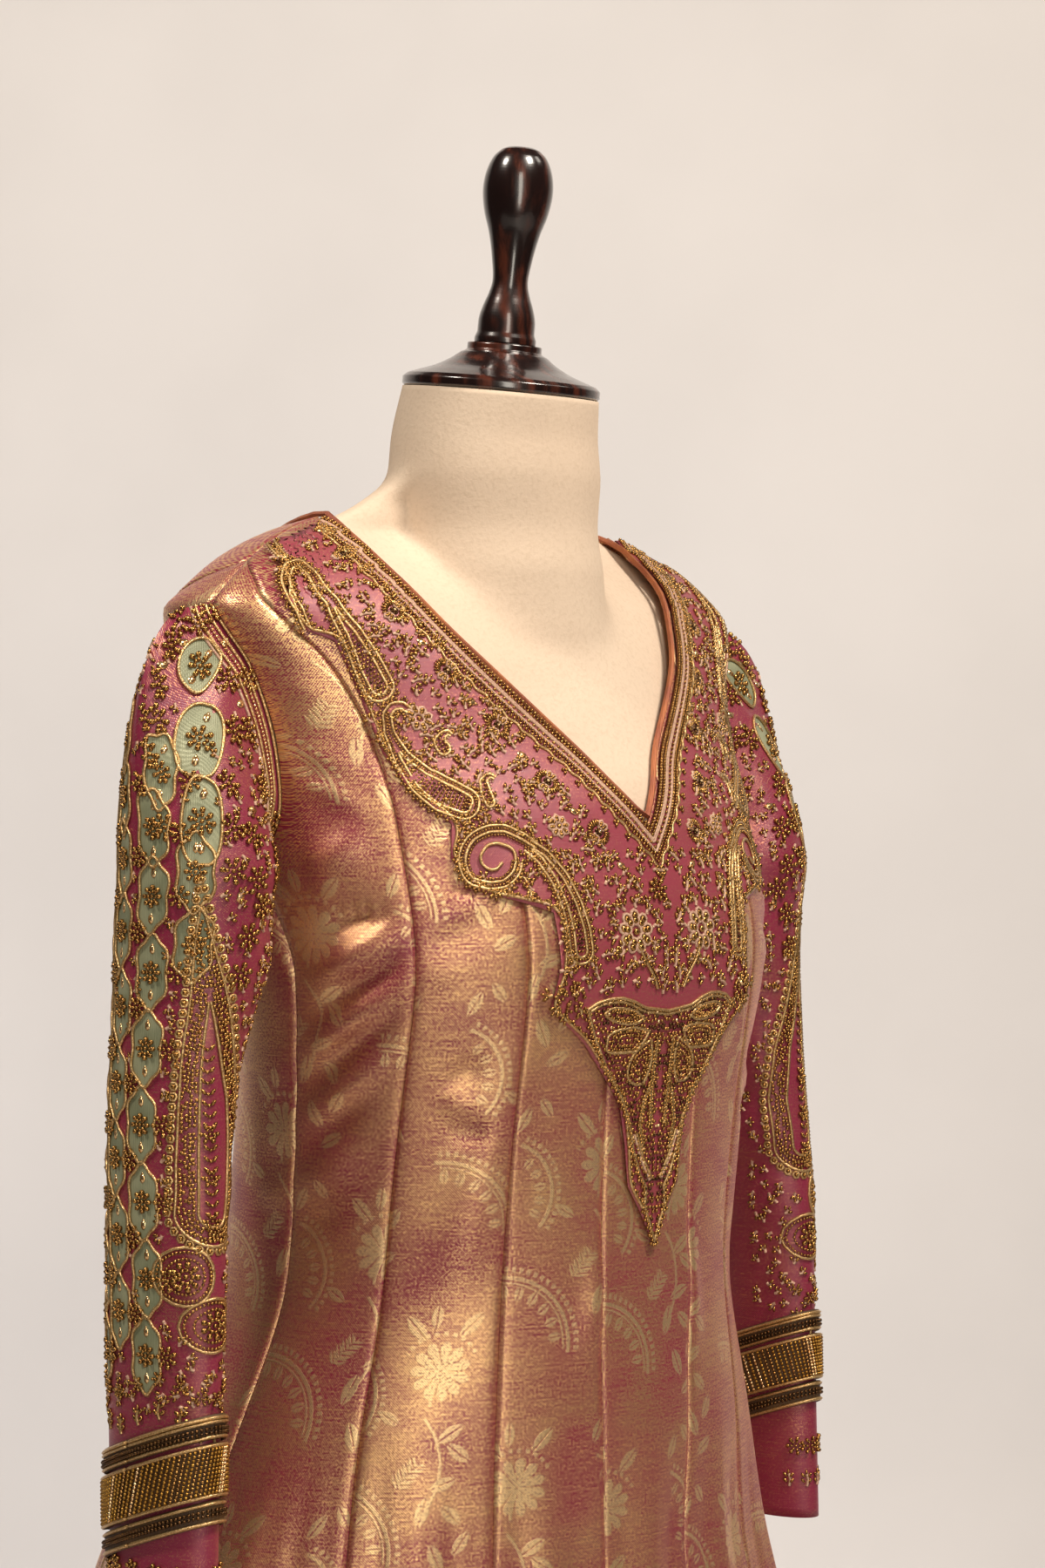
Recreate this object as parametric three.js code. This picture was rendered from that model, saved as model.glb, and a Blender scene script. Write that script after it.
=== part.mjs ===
// Floor-length anarkali gown of shot silk brocade on a limbless dress form.
// Millimetres, +Z up. The front faces -Y and the wearer's right is at -X.
// The origin is the centre of the stand's underside.
import * as THREE from 'three';

// Cloth, seams and the air between the cloth and the dress form
const CLOTH = 1.6;
const SEAM_GAP = 0.3;
const REST_GAP = 0.8;
const CHEST_GAP = 2.4;
const SHOULDER_TIP_GAP = 4.5;
const FORM_DROP = 5;
const APPLIQUE_LIFT = 1.0;
const YOKE_LIFT = 1.5;
const APPLIQUE_WALL = 1.5;

// Levels above the floor
const HEM_Z = 40;
const CHEST_Z = 1279;
const UNDERARM_Z = 1261.5;
const PANEL_SPLIT_Z = 1200;
const SHOULDER_TIP_Z = 1393;
const PRINCESS_Z = 1416;
const NECK_SIDE_Z = 1442.4;
const NECK_TOP_Z = 1515;
const SLEEVE_END_Z = 865;

// The body is cut in fourteen panels. Half a gown is seven panel widths from centre front to centre back.
const ROWS_BELOW_BUST = [40, 190, 350, 520, 690, 830, 930, 1000, 1060, 1130, PANEL_SPLIT_Z];
const ROWS_ABOVE_BUST = 7;

// Cross sections of the gown: half width, centre, depth in front and behind, and how square each is.
// The corner powers make a section round at 2 and squarer above it.
const GOWN_SECTIONS = [
  { z: 40, width: 410, centre: 55, front: 365, frontPower: 2.0, back: 365, backPower: 2.1 },
  { z: 450, width: 309, centre: 47, front: 262, frontPower: 2.0, back: 260, backPower: 2.2 },
  { z: 700, width: 247, centre: 43, front: 196, frontPower: 2.0, back: 197, backPower: 2.3 },
  { z: 871, width: 205, centre: 40, front: 157, frontPower: 2.0, back: 150, backPower: 2.4 },
  { z: 960, width: 172, centre: 24, front: 140, frontPower: 2.0, back: 133, backPower: 2.35 },
  { z: 1050, width: 148, centre: 13, front: 128, frontPower: 2.0, back: 118, backPower: 2.3 },
  { z: 1130, width: 152, centre: 6, front: 124, frontPower: 2.1, back: 108, backPower: 2.2 },
  { z: 1210, width: 161, centre: 0, front: 128, frontPower: 2.2, back: 100, backPower: 2.3 },
  { z: 1279, width: 164, centre: 4, front: 116, frontPower: 2.05, back: 94, backPower: 2.7 },
  { z: 1323, width: 168, centre: 8, front: 97, frontPower: 2.0, back: 90, backPower: 3.0 },
  { z: 1360, width: 176, centre: 13, front: 85.5, frontPower: 2.0, back: 91, backPower: 3.5 },
  { z: 1391, width: 190, centre: 15, front: 66, frontPower: 2.0, back: 86, backPower: 3.6 },
  { z: 1406, width: 177, centre: 16, front: 56, frontPower: 2.0, back: 80, backPower: 3.4 },
  { z: 1423, width: 155, centre: 18, front: 38, frontPower: 2.0, back: 74, backPower: 3.0 },
  { z: 1436, width: 129, centre: 21, front: 20, frontPower: 2.0, back: 62, backPower: 2.6 },
  { z: 1443, width: 110, centre: 22, front: 13, frontPower: 2.0, back: 47, backPower: 2.4 },
  { z: 1454, width: 80, centre: 22, front: 14, frontPower: 2.0, back: 38, backPower: 2.2 },
  { z: 1465, width: 60, centre: 18, front: 22, frontPower: 2.0, back: 36, backPower: 2.0 },
  { z: 1484, width: 38, centre: 8, front: 28, frontPower: 2.0, back: 28, backPower: 2.0 },
  { z: 1515, width: 30, centre: 0, front: 26, frontPower: 2.0, back: 26, backPower: 2.0 },
];

// The dress form below the chest, where the gown hangs clear of it
const FORM_SECTIONS = [
  { z: 790, width: 146, centre: 5, front: 98, frontPower: 2.0, back: 112, backPower: 2.1 },
  { z: 871, width: 160, centre: 4, front: 106, frontPower: 2.0, back: 118, backPower: 2.1 },
  { z: 960, width: 146, centre: 0, front: 100, frontPower: 2.0, back: 108, backPower: 2.1 },
  { z: 1050, width: 116, centre: -4, front: 90, frontPower: 2.0, back: 86, backPower: 2.1 },
  { z: 1130, width: 128, centre: -4, front: 100, frontPower: 2.1, back: 86, backPower: 2.1 },
  { z: 1210, width: 150, centre: -4, front: 116, frontPower: 2.1, back: 92, backPower: 2.2 },
];

// The neck column that the shoulders run into
const NECK_SECTIONS = [
  { z: 1300, radius: 20, centre: 0 },
  { z: 1330, radius: 44, centre: 0 },
  { z: 1360, radius: 57, centre: 0 },
  { z: 1391, radius: 63.5, centre: 0 },
  { z: 1418, radius: 63, centre: 0 },
  { z: 1437, radius: 61, centre: 1 },
  { z: 1462, radius: 59, centre: 2 },
  { z: 1484, radius: 57.5, centre: 2 },
  { z: 1515, radius: 54, centre: -3 },
];

// Where the panel seams run, as a share of the way round from centre front to centre back
const FRONT_SEAMS = [
  { z: 40, front: 0.071, princess: 0.214, bust: 0.357, side: 0.5 },
  { z: 700, front: 0.062, princess: 0.19, bust: 0.33, side: 0.5 },
  { z: 880, front: 0.055, princess: 0.177, bust: 0.316, side: 0.497 },
  { z: 960, front: 0.068, princess: 0.196, bust: 0.34, side: 0.49 },
  { z: 1050, front: 0.079, princess: 0.208, bust: 0.35, side: 0.484 },
  { z: 1210, front: 0.081, princess: 0.2, bust: 0.331, side: 0.49 },
];
const BACK_SEAMS = [
  { z: 40, outer: 0.643, inner: 0.786, back: 0.929 },
  { z: 880, outer: 0.643, inner: 0.786, back: 0.929 },
  { z: 960, outer: 0.65, inner: 0.788, back: 0.93 },
  { z: 1050, outer: 0.665, inner: 0.795, back: 0.932 },
  { z: 1210, outer: 0.735, inner: 0.832, back: 0.944 },
];
// Where the same seams lie when counted in panel widths from centre front
const SEAM_MARKS = [0, 0.5, 1.5, 2.5, 3.5, 4.5, 5.5, 6.5, 7];

// The neckline from the point of the V to the shoulder, seen from the front
const FRONT_NECKLINE = [
  { x: 0, z: 1277 }, { x: 18, z: 1298 }, { x: 32, z: 1316 }, { x: 48, z: 1333 }, { x: 64, z: 1350 },
  { x: 82, z: 1371 }, { x: 97, z: 1394 }, { x: 106, z: 1412 }, { x: 109, z: 1430 }, { x: 110, z: NECK_SIDE_Z },
];
const BACK_NECKLINE = [
  { x: 110, z: NECK_SIDE_Z }, { x: 104, z: 1436 }, { x: 86, z: 1427 }, { x: 58, z: 1420 },
  { x: 28, z: 1417 }, { x: 0, z: 1416 },
];
const YOKE_SHOULDER_Z = 1425;

// The armhole: how far behind the side of the body, and how high, round from the shoulder tip to the front
const ARMHOLE = [
  { behind: 0, z: SHOULDER_TIP_Z }, { behind: -5, z: 1383 }, { behind: -12, z: 1356 },
  { behind: -15, z: 1310 }, { behind: -11, z: 1281 }, { behind: 2, z: 1266 },
  { behind: 18, z: UNDERARM_Z }, { behind: 34, z: 1267 }, { behind: 47, z: 1288 },
  { behind: 50, z: 1318 }, { behind: 44, z: 1346 }, { behind: 30, z: 1371 }, { behind: 14, z: 1386 },
];
const ARMHOLE_UNDERARM = 6;
const ARMHOLE_CELLS = 8;
const SLEEVE_SETBACK = 2.2;

// Flat, hanging sleeve: the middle of the tube and its half sizes across and along
const SLEEVE_SECTIONS = [
  { z: 1250, x: -206, y: 7, across: 37, along: 44 },
  { z: 1210, x: -208, y: 11, across: 35, along: 42 },
  { z: 1150, x: -219, y: 11, across: 27, along: 38 },
  { z: 1050, x: -227, y: 7, across: 21, along: 39 },
  { z: 950, x: -230, y: 5, across: 18, along: 38 },
  { z: SLEEVE_END_Z, x: -232, y: 3, across: 16.5, along: 37 },
];
const SLEEVE_CAP_ROWS = 5;
const CAP_PUSH = { low: 0.6, top: 1.3 };
const SLEEVE_ROWS = [1210, 1150, 1095, 1040, 985, 925, SLEEVE_END_Z];

// Bands sewn round the sleeve above its end, sloping down to the back
const CUFF_SLOPE = 0.28;
const CUFF_BANDS = [
  { name: 'upper_braid', from: 962, to: 974, wall: 2.2 },
  { name: 'bead_band', from: 934, to: 960, wall: 3.0 },
  { name: 'lower_braid', from: 920, to: 932, wall: 2.2 },
];

// Outer edge of the embroidered yoke from its lowest point up to the shoulder, seen from the front
const YOKE_EDGE = [
  { x: 0, z: 1058 }, { x: 10, z: 1076 }, { x: 19, z: 1090 }, { x: 22, z: 1112 }, { x: 27, z: 1134 },
  { x: 40, z: 1150 }, { x: 54, z: 1167 }, { x: 67, z: 1178 }, { x: 75, z: 1186 }, { x: 71, z: 1206 },
  { x: 73, z: 1234 }, { x: 87, z: 1239 }, { x: 106, z: 1245 }, { x: 116, z: 1262 }, { x: 113, z: 1279 },
  { x: 127, z: 1296 }, { x: 134, z: 1315 }, { x: 137, z: 1333 }, { x: 142, z: 1353 }, { x: 148, z: 1373 },
  { x: 160, z: 1378 }, { x: 166, z: 1392 }, { x: 160, z: 1409 }, { x: 152, z: YOKE_SHOULDER_Z - 1 },
];
const YOKE_CELLS_ACROSS = 10;

// Neck cap, finial and stand
const NECK_TILT = THREE.MathUtils.degToRad(7);
const CAP = { radius: 54.6, rim: 5, height: 26.5, topRadius: 20.5 };
const FINIAL = { collar: 17, waist: 9.8, knob: 19.3, waistHeight: 34, knobHeight: 84, height: 107 };
const POLE_RADIUS = 16;
const BASE = { radius: 190, height: 24, bevel: 6 };
const PIPING_RADIUS = 1.7;
const PIPING_LIFT = 0.5;
const PIPING_STEPS = { front: 24, back: 12 };
const PIPING_GAP = 0.9;

const brocade = { color: 0xb07a5c, roughness: 0.45, metalness: 0.25 };
const yokeCloth = { color: 0x8c4a4e, roughness: 0.6, metalness: 0.15 };
const goldBraid = { color: 0xb98f45, roughness: 0.4, metalness: 0.6 };
const suede = { color: 0xe2d2b8, roughness: 0.95, metalness: 0 };
const walnut = { color: 0x2a1510, roughness: 0.25, metalness: 0 };

// Value of one column of a table at a height, smooth and without overshoot
function valueAt(table, z, column) {
  const last = table.length - 1;
  if (z <= table[0].z) return table[0][column];
  if (z >= table[last].z) return table[last][column];
  let i = 0;
  while (table[i + 1].z < z) i += 1;
  const slope = (k) => (table[k + 1][column] - table[k][column]) / (table[k + 1].z - table[k].z);
  const tangent = (k) => {
    if (k === 0) return slope(0);
    if (k === last) return slope(last - 1);
    const before = slope(k - 1);
    const after = slope(k);
    return before * after <= 0 ? 0 : (2 * before * after) / (before + after);
  };
  const span = table[i + 1].z - table[i].z;
  const t = (z - table[i].z) / span;
  return (1 + 2 * t) * (1 - t) ** 2 * table[i][column]
    + t * (1 - t) ** 2 * span * tangent(i)
    + t * t * (3 - 2 * t) * table[i + 1][column]
    + t * t * (t - 1) * span * tangent(i + 1);
}

// Smooth point along a list of places, for t from 0 to 1 by length
function alongCurve(places, keys, t) {
  const curve = new THREE.CatmullRomCurve3(
    places.map((p) => new THREE.Vector3(p[keys[0]], p[keys[1]], 0)),
    false,
    'centripetal',
  );
  const at = curve.getPointAt(Math.min(Math.max(t, 0), 1));
  return { [keys[0]]: at.x, [keys[1]]: at.y };
}

// One half of a cross section from centre front to centre back, with its length so far at each point
const STEPS = 180;
const sectionCache = new Map();
function halfSection(sections, z, neckInset = 0) {
  const key = `${sections === GOWN_SECTIONS ? 'gown' : 'form'} ${z.toFixed(3)}`;
  if (sectionCache.has(key)) return sectionCache.get(key);
  const read = (column) => valueAt(sections, z, column);
  const centre = read('centre');
  const points = [];
  const lengths = [0];
  for (let i = 0; i <= STEPS; i += 1) {
    const angle = (Math.PI * i) / STEPS;
    const sin = Math.sin(angle);
    const cos = Math.cos(angle);
    const depth = cos > 0 ? read('front') : read('back');
    const power = cos > 0 ? read('frontPower') : read('backPower');
    let reach = ((sin / read('width')) ** power + (Math.abs(cos) / depth) ** power) ** (-1 / power);
    if (z > NECK_SECTIONS[0].z) {
      const neckRadius = valueAt(NECK_SECTIONS, z, 'radius') - neckInset;
      const offset = centre - valueAt(NECK_SECTIONS, z, 'centre');
      const along = -offset * cos;
      const inside = along * along - offset * offset + neckRadius * neckRadius;
      const neckReach = inside > 0 ? -along + Math.sqrt(inside) : 0;
      if (neckReach > 0) reach = (reach ** 10 + neckReach ** 10) ** 0.1;
    }
    points.push([reach * sin, centre - reach * cos]);
    if (i > 0) {
      const [x, y] = points[i];
      const [px, py] = points[i - 1];
      lengths.push(lengths[i - 1] + Math.hypot(x - px, y - py));
    }
  }
  const section = { points, lengths, total: lengths[STEPS] };
  sectionCache.set(key, section);
  return section;
}

// Point on the gown at a height and a share of the way round, on the +X half
function gownPoint(z, share) {
  const { points, lengths, total } = halfSection(GOWN_SECTIONS, z);
  const target = Math.min(Math.max(share, 0), 1) * total;
  let i = 0;
  while (i < STEPS - 1 && lengths[i + 1] < target) i += 1;
  const t = (target - lengths[i]) / (lengths[i + 1] - lengths[i]);
  return new THREE.Vector3(
    THREE.MathUtils.lerp(points[i][0], points[i + 1][0], t),
    THREE.MathUtils.lerp(points[i][1], points[i + 1][1], t),
    z,
  );
}

// Share of the way round at a distance behind the side of the body
function shareAtSide(z, behind) {
  const { lengths, total } = halfSection(GOWN_SECTIONS, z);
  return (lengths[STEPS / 2] + behind) / total;
}

// Share of the way round at a distance from the middle, on the front or the back half
function shareAtWidth(z, x, onBack) {
  const { points, lengths, total } = halfSection(GOWN_SECTIONS, z);
  const step = onBack ? -1 : 1;
  for (let i = onBack ? STEPS : 0; i !== STEPS / 2; i += step) {
    const [near, far] = [points[i][0], points[i + step][0]];
    if (x >= near - 1e-6 && x <= far) {
      const t = far > near ? (x - near) / (far - near) : 0;
      return THREE.MathUtils.lerp(lengths[i], lengths[i + step], t) / total;
    }
  }
  return lengths[STEPS / 2] / total;
}

// Outward direction of the gown at a height and a share of the way round
function gownNormal(z, share) {
  const d = 0.01;
  const round = gownPoint(z, Math.min(share + d, 1)).sub(gownPoint(z, Math.max(share - d, 0)));
  if (share < d || share > 1 - d) round.set(share < d ? 1 : -1, 0, 0);
  const up = gownPoint(z + 4, share).sub(gownPoint(z - 4, share));
  return round.cross(up).normalize();
}

// Outward direction along the top of the shoulder, where front and back meet
function ridgeNormal(z) {
  const slope = (valueAt(GOWN_SECTIONS, z + 1, 'width') - valueAt(GOWN_SECTIONS, z - 1, 'width')) / 2;
  return new THREE.Vector3(1, 0, Math.min(-slope, 4)).normalize();
}

function armholePlace(t) {
  const half = t <= 1
    ? ARMHOLE.slice(0, ARMHOLE_UNDERARM + 1)
    : [...ARMHOLE.slice(ARMHOLE_UNDERARM), ARMHOLE[0]];
  return alongCurve(half, ['behind', 'z'], t <= 1 ? t : t - 1);
}

// Top edge of the half gown. Each stretch has its number of cells, the panel widths that it covers and
// how late its lines turn towards the shoulder, at its two ends.
const TOP_STRETCHES = [
  { cells: 3, from: 0, to: 0.5, kind: 'neck', start: 0, end: 0.17, late: [1.5, 2] },
  { cells: 5, from: 0.5, to: 1.5, kind: 'neck', start: 0.17, end: 0.6, late: [2, 3] },
  { cells: 4, from: 1.5, to: 2.1, kind: 'neck', start: 0.6, end: 1, late: [3, 6] },
  { cells: 3, from: 2.1, to: 2.5, kind: 'ridge', start: NECK_SIDE_Z, end: PRINCESS_Z, late: [6, 6] },
  { cells: 2, from: 2.5, to: 2.7, kind: 'ridge', start: PRINCESS_Z, end: SHOULDER_TIP_Z, late: [6, 6] },
  { cells: ARMHOLE_CELLS, from: 2.7, to: 3.5, kind: 'armhole', start: 0, end: 1, late: [6, 1.5] },
  { cells: ARMHOLE_CELLS / 2, from: 3.5, to: 4.15, kind: 'armhole', start: 1, end: 1.5, late: [0.6, 0.6] },
  { cells: ARMHOLE_CELLS / 2, from: 4.15, to: 4.3, kind: 'armhole', start: 1.5, end: 2, late: [6, 9] },
  { cells: 2, from: 4.3, to: 4.5, kind: 'ridge', start: SHOULDER_TIP_Z, end: PRINCESS_Z, late: [9, 8] },
  { cells: 3, from: 4.5, to: 5, kind: 'ridge', start: PRINCESS_Z, end: NECK_SIDE_Z, late: [8, 6] },
  { cells: 2, from: 5, to: 5.5, kind: 'backNeck', start: 0, end: 0.3, late: [6, 4] },
  { cells: 4, from: 5.5, to: 6.5, kind: 'backNeck', start: 0.3, end: 0.8, late: [4, 3] },
  { cells: 2, from: 6.5, to: 7, kind: 'backNeck', start: 0.8, end: 1, late: [3, 3] },
];

function topPlace(stretch, t) {
  const s = THREE.MathUtils.lerp(stretch.start, stretch.end, t);
  if (stretch.kind === 'ridge') return { z: s, share: shareAtSide(s, 0), ridge: true };
  if (stretch.kind === 'armhole') {
    const { behind, z } = armholePlace(s);
    return { z, share: shareAtSide(z, behind), ridge: s === 0 || s === 2 };
  }
  const onBack = stretch.kind === 'backNeck';
  const { x, z } = alongCurve(onBack ? BACK_NECKLINE : FRONT_NECKLINE, ['x', 'z'], s);
  return { z, share: shareAtWidth(z, x, onBack), ridge: onBack ? s === 0 : s === 1 };
}

// Share of the way round of a place counted in panel widths, at a height below the bust
function seamShare(z, widths) {
  const front = ['front', 'princess', 'bust', 'side'].map((name) => valueAt(FRONT_SEAMS, z, name));
  const back = ['outer', 'inner', 'back'].map((name) => valueAt(BACK_SEAMS, z, name));
  const knots = [0, ...front, ...back, 1];
  let i = 0;
  while (i < SEAM_MARKS.length - 2 && widths > SEAM_MARKS[i + 1]) i += 1;
  return THREE.MathUtils.mapLinear(widths, SEAM_MARKS[i], SEAM_MARKS[i + 1], knots[i], knots[i + 1]);
}

// Soft flutes of the skirt: each panel rolls out in its middle and dips at its seams
function fluteDepth(z) {
  const drop = THREE.MathUtils.clamp((1000 - z) / (1000 - HEM_Z), 0, 1);
  return 27 * drop ** 1.35;
}

// Grid of outer points and inward directions for the half gown, column by column
function halfGownGrid() {
  const columns = [];
  for (const stretch of TOP_STRETCHES) {
    const first = columns.length === 0 ? 0 : 1;
    for (let cell = first; cell <= stretch.cells; cell += 1) {
      const t = cell / stretch.cells;
      const widths = THREE.MathUtils.lerp(stretch.from, stretch.to, t);
      const late = THREE.MathUtils.lerp(stretch.late[0], stretch.late[1], t);
      columns.push({ widths, late, top: topPlace(stretch, t) });
    }
  }
  for (const column of columns) {
    const places = ROWS_BELOW_BUST.map((z) => ({ z, share: seamShare(z, column.widths) }));
    const base = places[places.length - 1];
    for (let row = 1; row <= ROWS_ABOVE_BUST; row += 1) {
      const t = row / ROWS_ABOVE_BUST;
      const rise = 1 - (1 - t) ** 1.4;
      places.push({
        z: THREE.MathUtils.lerp(base.z, column.top.z, rise),
        share: THREE.MathUtils.lerp(base.share, column.top.share, rise ** column.late),
      });
    }
    const wave = Math.cos(2 * Math.PI * column.widths);
    column.points = places.map(({ z, share }) => {
      const normal = gownNormal(z, share);
      return gownPoint(z, share).addScaledVector(normal, fluteDepth(z) * wave);
    });
    column.normals = places.map(({ z, share }) => gownNormal(z, share));
    if (column.top.ridge) column.normals[places.length - 1] = ridgeNormal(column.top.z);
  }
  for (let c = 0; c < columns.length; c += 1) {
    for (let r = 0; r < ROWS_BELOW_BUST.length; r += 1) {
      const across = columns[Math.min(c + 1, columns.length - 1)].points[r].clone()
        .sub(columns[Math.max(c - 1, 0)].points[r]);
      if (c === 0 || c === columns.length - 1) across.set(c === 0 ? 1 : -1, 0, 0);
      const up = columns[c].points[r + 1].clone().sub(columns[c].points[Math.max(r - 1, 0)]);
      columns[c].normals[r] = across.cross(up).normalize();
    }
  }
  return columns;
}

// Closed wall between a grid of outer points and the same grid moved inwards. A tube joins its last
// column to its first.
function wallGeometry(grid, inward, wall, tube = false) {
  const rows = grid.length;
  const cols = grid[0].length;
  const positions = [];
  for (const side of [0, wall]) {
    for (let r = 0; r < rows; r += 1) {
      for (let c = 0; c < cols; c += 1) {
        const p = grid[r][c].clone().addScaledVector(inward[r][c], -side);
        positions.push(p.x, p.y, p.z);
      }
    }
  }
  const index = [];
  const outer = (r, c) => r * cols + (c % cols);
  const inner = (r, c) => rows * cols + outer(r, c);
  const quad = (a, b, c, d) => index.push(a, b, c, a, c, d);
  const lastCol = tube ? cols : cols - 1;
  for (let r = 0; r < rows - 1; r += 1) {
    for (let c = 0; c < lastCol; c += 1) {
      quad(outer(r, c), outer(r, c + 1), outer(r + 1, c + 1), outer(r + 1, c));
      quad(inner(r, c), inner(r + 1, c), inner(r + 1, c + 1), inner(r, c + 1));
    }
  }
  for (let c = 0; c < lastCol; c += 1) {
    quad(inner(0, c), inner(0, c + 1), outer(0, c + 1), outer(0, c));
    quad(outer(rows - 1, c), outer(rows - 1, c + 1), inner(rows - 1, c + 1), inner(rows - 1, c));
  }
  if (!tube) {
    for (let r = 0; r < rows - 1; r += 1) {
      quad(inner(r, 0), outer(r, 0), outer(r + 1, 0), inner(r + 1, 0));
      quad(inner(r, cols - 1), inner(r + 1, cols - 1), outer(r + 1, cols - 1), outer(r, cols - 1));
    }
  }
  const geometry = new THREE.BufferGeometry();
  geometry.setAttribute('position', new THREE.Float32BufferAttribute(positions, 3));
  geometry.setIndex(index);
  return geometry;
}

// The same shape on the other side of the body
function mirrored(geometry) {
  const copy = geometry.clone();
  copy.scale(-1, 1, 1);
  const index = copy.getIndex();
  for (let i = 0; i < index.count; i += 3) {
    const keep = index.getX(i + 1);
    index.setX(i + 1, index.getX(i + 2));
    index.setX(i + 2, keep);
  }
  return copy;
}

const gown = new THREE.Group();
function addMesh(name, geometry, look, parent = gown) {
  geometry.computeVertexNormals();
  const mesh = new THREE.Mesh(geometry, new THREE.MeshStandardMaterial(look));
  mesh.name = name;
  parent.add(mesh);
  return mesh;
}

// Moves the seam edges of a panel in by half of the seam gap
function trimEdges(grid) {
  const shift = (from, to) => {
    const step = to.clone().sub(from);
    from.addScaledVector(step, SEAM_GAP / 2 / step.length());
  };
  const rows = grid.length;
  const cols = grid[0].length;
  for (let r = 0; r < rows; r += 1) {
    shift(grid[r][0], grid[r][1]);
    shift(grid[r][cols - 1], grid[r][cols - 2]);
  }
  for (let c = 0; c < cols; c += 1) shift(grid[rows - 1][c], grid[rows - 2][c]);
  return grid;
}

function panelGeometry(columns) {
  const rows = columns[0].points.length;
  const grid = [];
  const inward = [];
  for (let r = 0; r < rows; r += 1) {
    grid.push(columns.map((column) => column.points[r].clone()));
    inward.push(columns.map((column) => column.normals[r].clone()));
  }
  return wallGeometry(trimEdges(grid), inward, CLOTH);
}

function mirroredColumns(columns) {
  const flip = (v) => new THREE.Vector3(-v.x, v.y, v.z);
  return columns
    .map(({ points, normals }) => ({ points: points.map(flip), normals: normals.map(flip) }))
    .reverse();
}

const BODY_PANELS = [
  { name: 'front_inner_panel', from: 0.5, to: 1.5 },
  { name: 'front_outer_panel', from: 1.5, to: 2.5 },
  { name: 'side_front_panel', from: 2.5, to: 3.5 },
  { name: 'side_back_panel', from: 3.5, to: 4.5 },
  { name: 'back_outer_panel', from: 4.5, to: 5.5 },
  { name: 'back_inner_panel', from: 5.5, to: 6.5 },
];

function addBodyPanels() {
  const columns = halfGownGrid();
  const between = (from, to) => columns.filter((c) => c.widths > from - 1e-6 && c.widths < to + 1e-6);
  for (const { name, from, to } of BODY_PANELS) {
    const geometry = panelGeometry(between(from, to));
    addMesh(`${name}_left`, geometry, brocade);
    addMesh(`${name}_right`, mirrored(geometry), brocade);
  }
  const front = between(0, 0.5);
  addMesh('front_centre_panel', panelGeometry([...mirroredColumns(front.slice(1)), ...front]), brocade);
  const back = between(6.5, 7);
  addMesh('back_centre_panel', panelGeometry([...back, ...mirroredColumns(back.slice(0, -1))]), brocade);
}

// Level ring of the wearer's right sleeve, from its outer side round by the front
function sleeveRing(z, count) {
  const read = (column) => valueAt([...SLEEVE_SECTIONS].reverse(), z, column);
  const ring = [];
  for (let i = 0; i < count; i += 1) {
    const angle = (2 * Math.PI * i) / count;
    ring.push(new THREE.Vector3(
      read('x') - read('across') * Math.cos(angle),
      read('y') - read('along') * Math.sin(angle),
      z,
    ));
  }
  return ring;
}

// The cap leaves the armhole square to the body and bends over into the hanging tube
function sleeveGrid() {
  const count = ARMHOLE_CELLS * 2;
  const middle = { behind: 18, z: 1324 };
  const armhole = [];
  const seatNormal = [];
  for (let i = 0; i < count; i += 1) {
    const place = armholePlace((2 * i) / count);
    const reach = Math.hypot(place.behind - middle.behind, place.z - middle.z);
    const keep = 1 - SLEEVE_SETBACK / reach;
    const z = THREE.MathUtils.lerp(middle.z, place.z, keep);
    const share = shareAtSide(z, THREE.MathUtils.lerp(middle.behind, place.behind, keep));
    const flip = (v) => new THREE.Vector3(-v.x, v.y, v.z);
    armhole.push(flip(gownPoint(z, share)));
    seatNormal.push(flip(gownNormal(z, share)));
  }
  const wide = sleeveRing(SLEEVE_SECTIONS[0].z, count);
  const rows = [];
  for (let row = 0; row < SLEEVE_CAP_ROWS; row += 1) {
    const t = row / SLEEVE_CAP_ROWS;
    rows.push(armhole.map((start, i) => {
      const end = wide[i];
      const span = start.distanceTo(end);
      const rise = Math.max(0, (start.z - end.z) / (SHOULDER_TIP_Z - end.z));
      const push = THREE.MathUtils.lerp(CAP_PUSH.low, CAP_PUSH.top, rise);
      const leave = seatNormal[i].clone().multiplyScalar(span * push);
      const arrive = new THREE.Vector3(0, 0, -span);
      return start.clone().multiplyScalar((1 + 2 * t) * (1 - t) ** 2)
        .addScaledVector(leave, t * (1 - t) ** 2)
        .addScaledVector(end, t * t * (3 - 2 * t))
        .addScaledVector(arrive, t * t * (t - 1));
    }));
  }
  rows.push(wide);
  for (const z of SLEEVE_ROWS) rows.push(sleeveRing(z, count));
  return rows.reverse();
}

// Outward directions of a tube's points, from their neighbours
function tubeNormals(grid) {
  const cols = grid[0].length;
  return grid.map((ring, r) => ring.map((point, c) => {
    const across = ring[(c + 1) % cols].clone().sub(ring[(c + cols - 1) % cols]);
    const up = grid[Math.min(r + 1, grid.length - 1)][c].clone().sub(grid[Math.max(r - 1, 0)][c]);
    return across.cross(up).normalize();
  }));
}

function addSleeves() {
  const grid = sleeveGrid();
  const geometry = wallGeometry(grid, tubeNormals(grid), CLOTH, true);
  addMesh('sleeve_right', geometry, yokeCloth);
  addMesh('sleeve_left', mirrored(geometry), yokeCloth);
}

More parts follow.
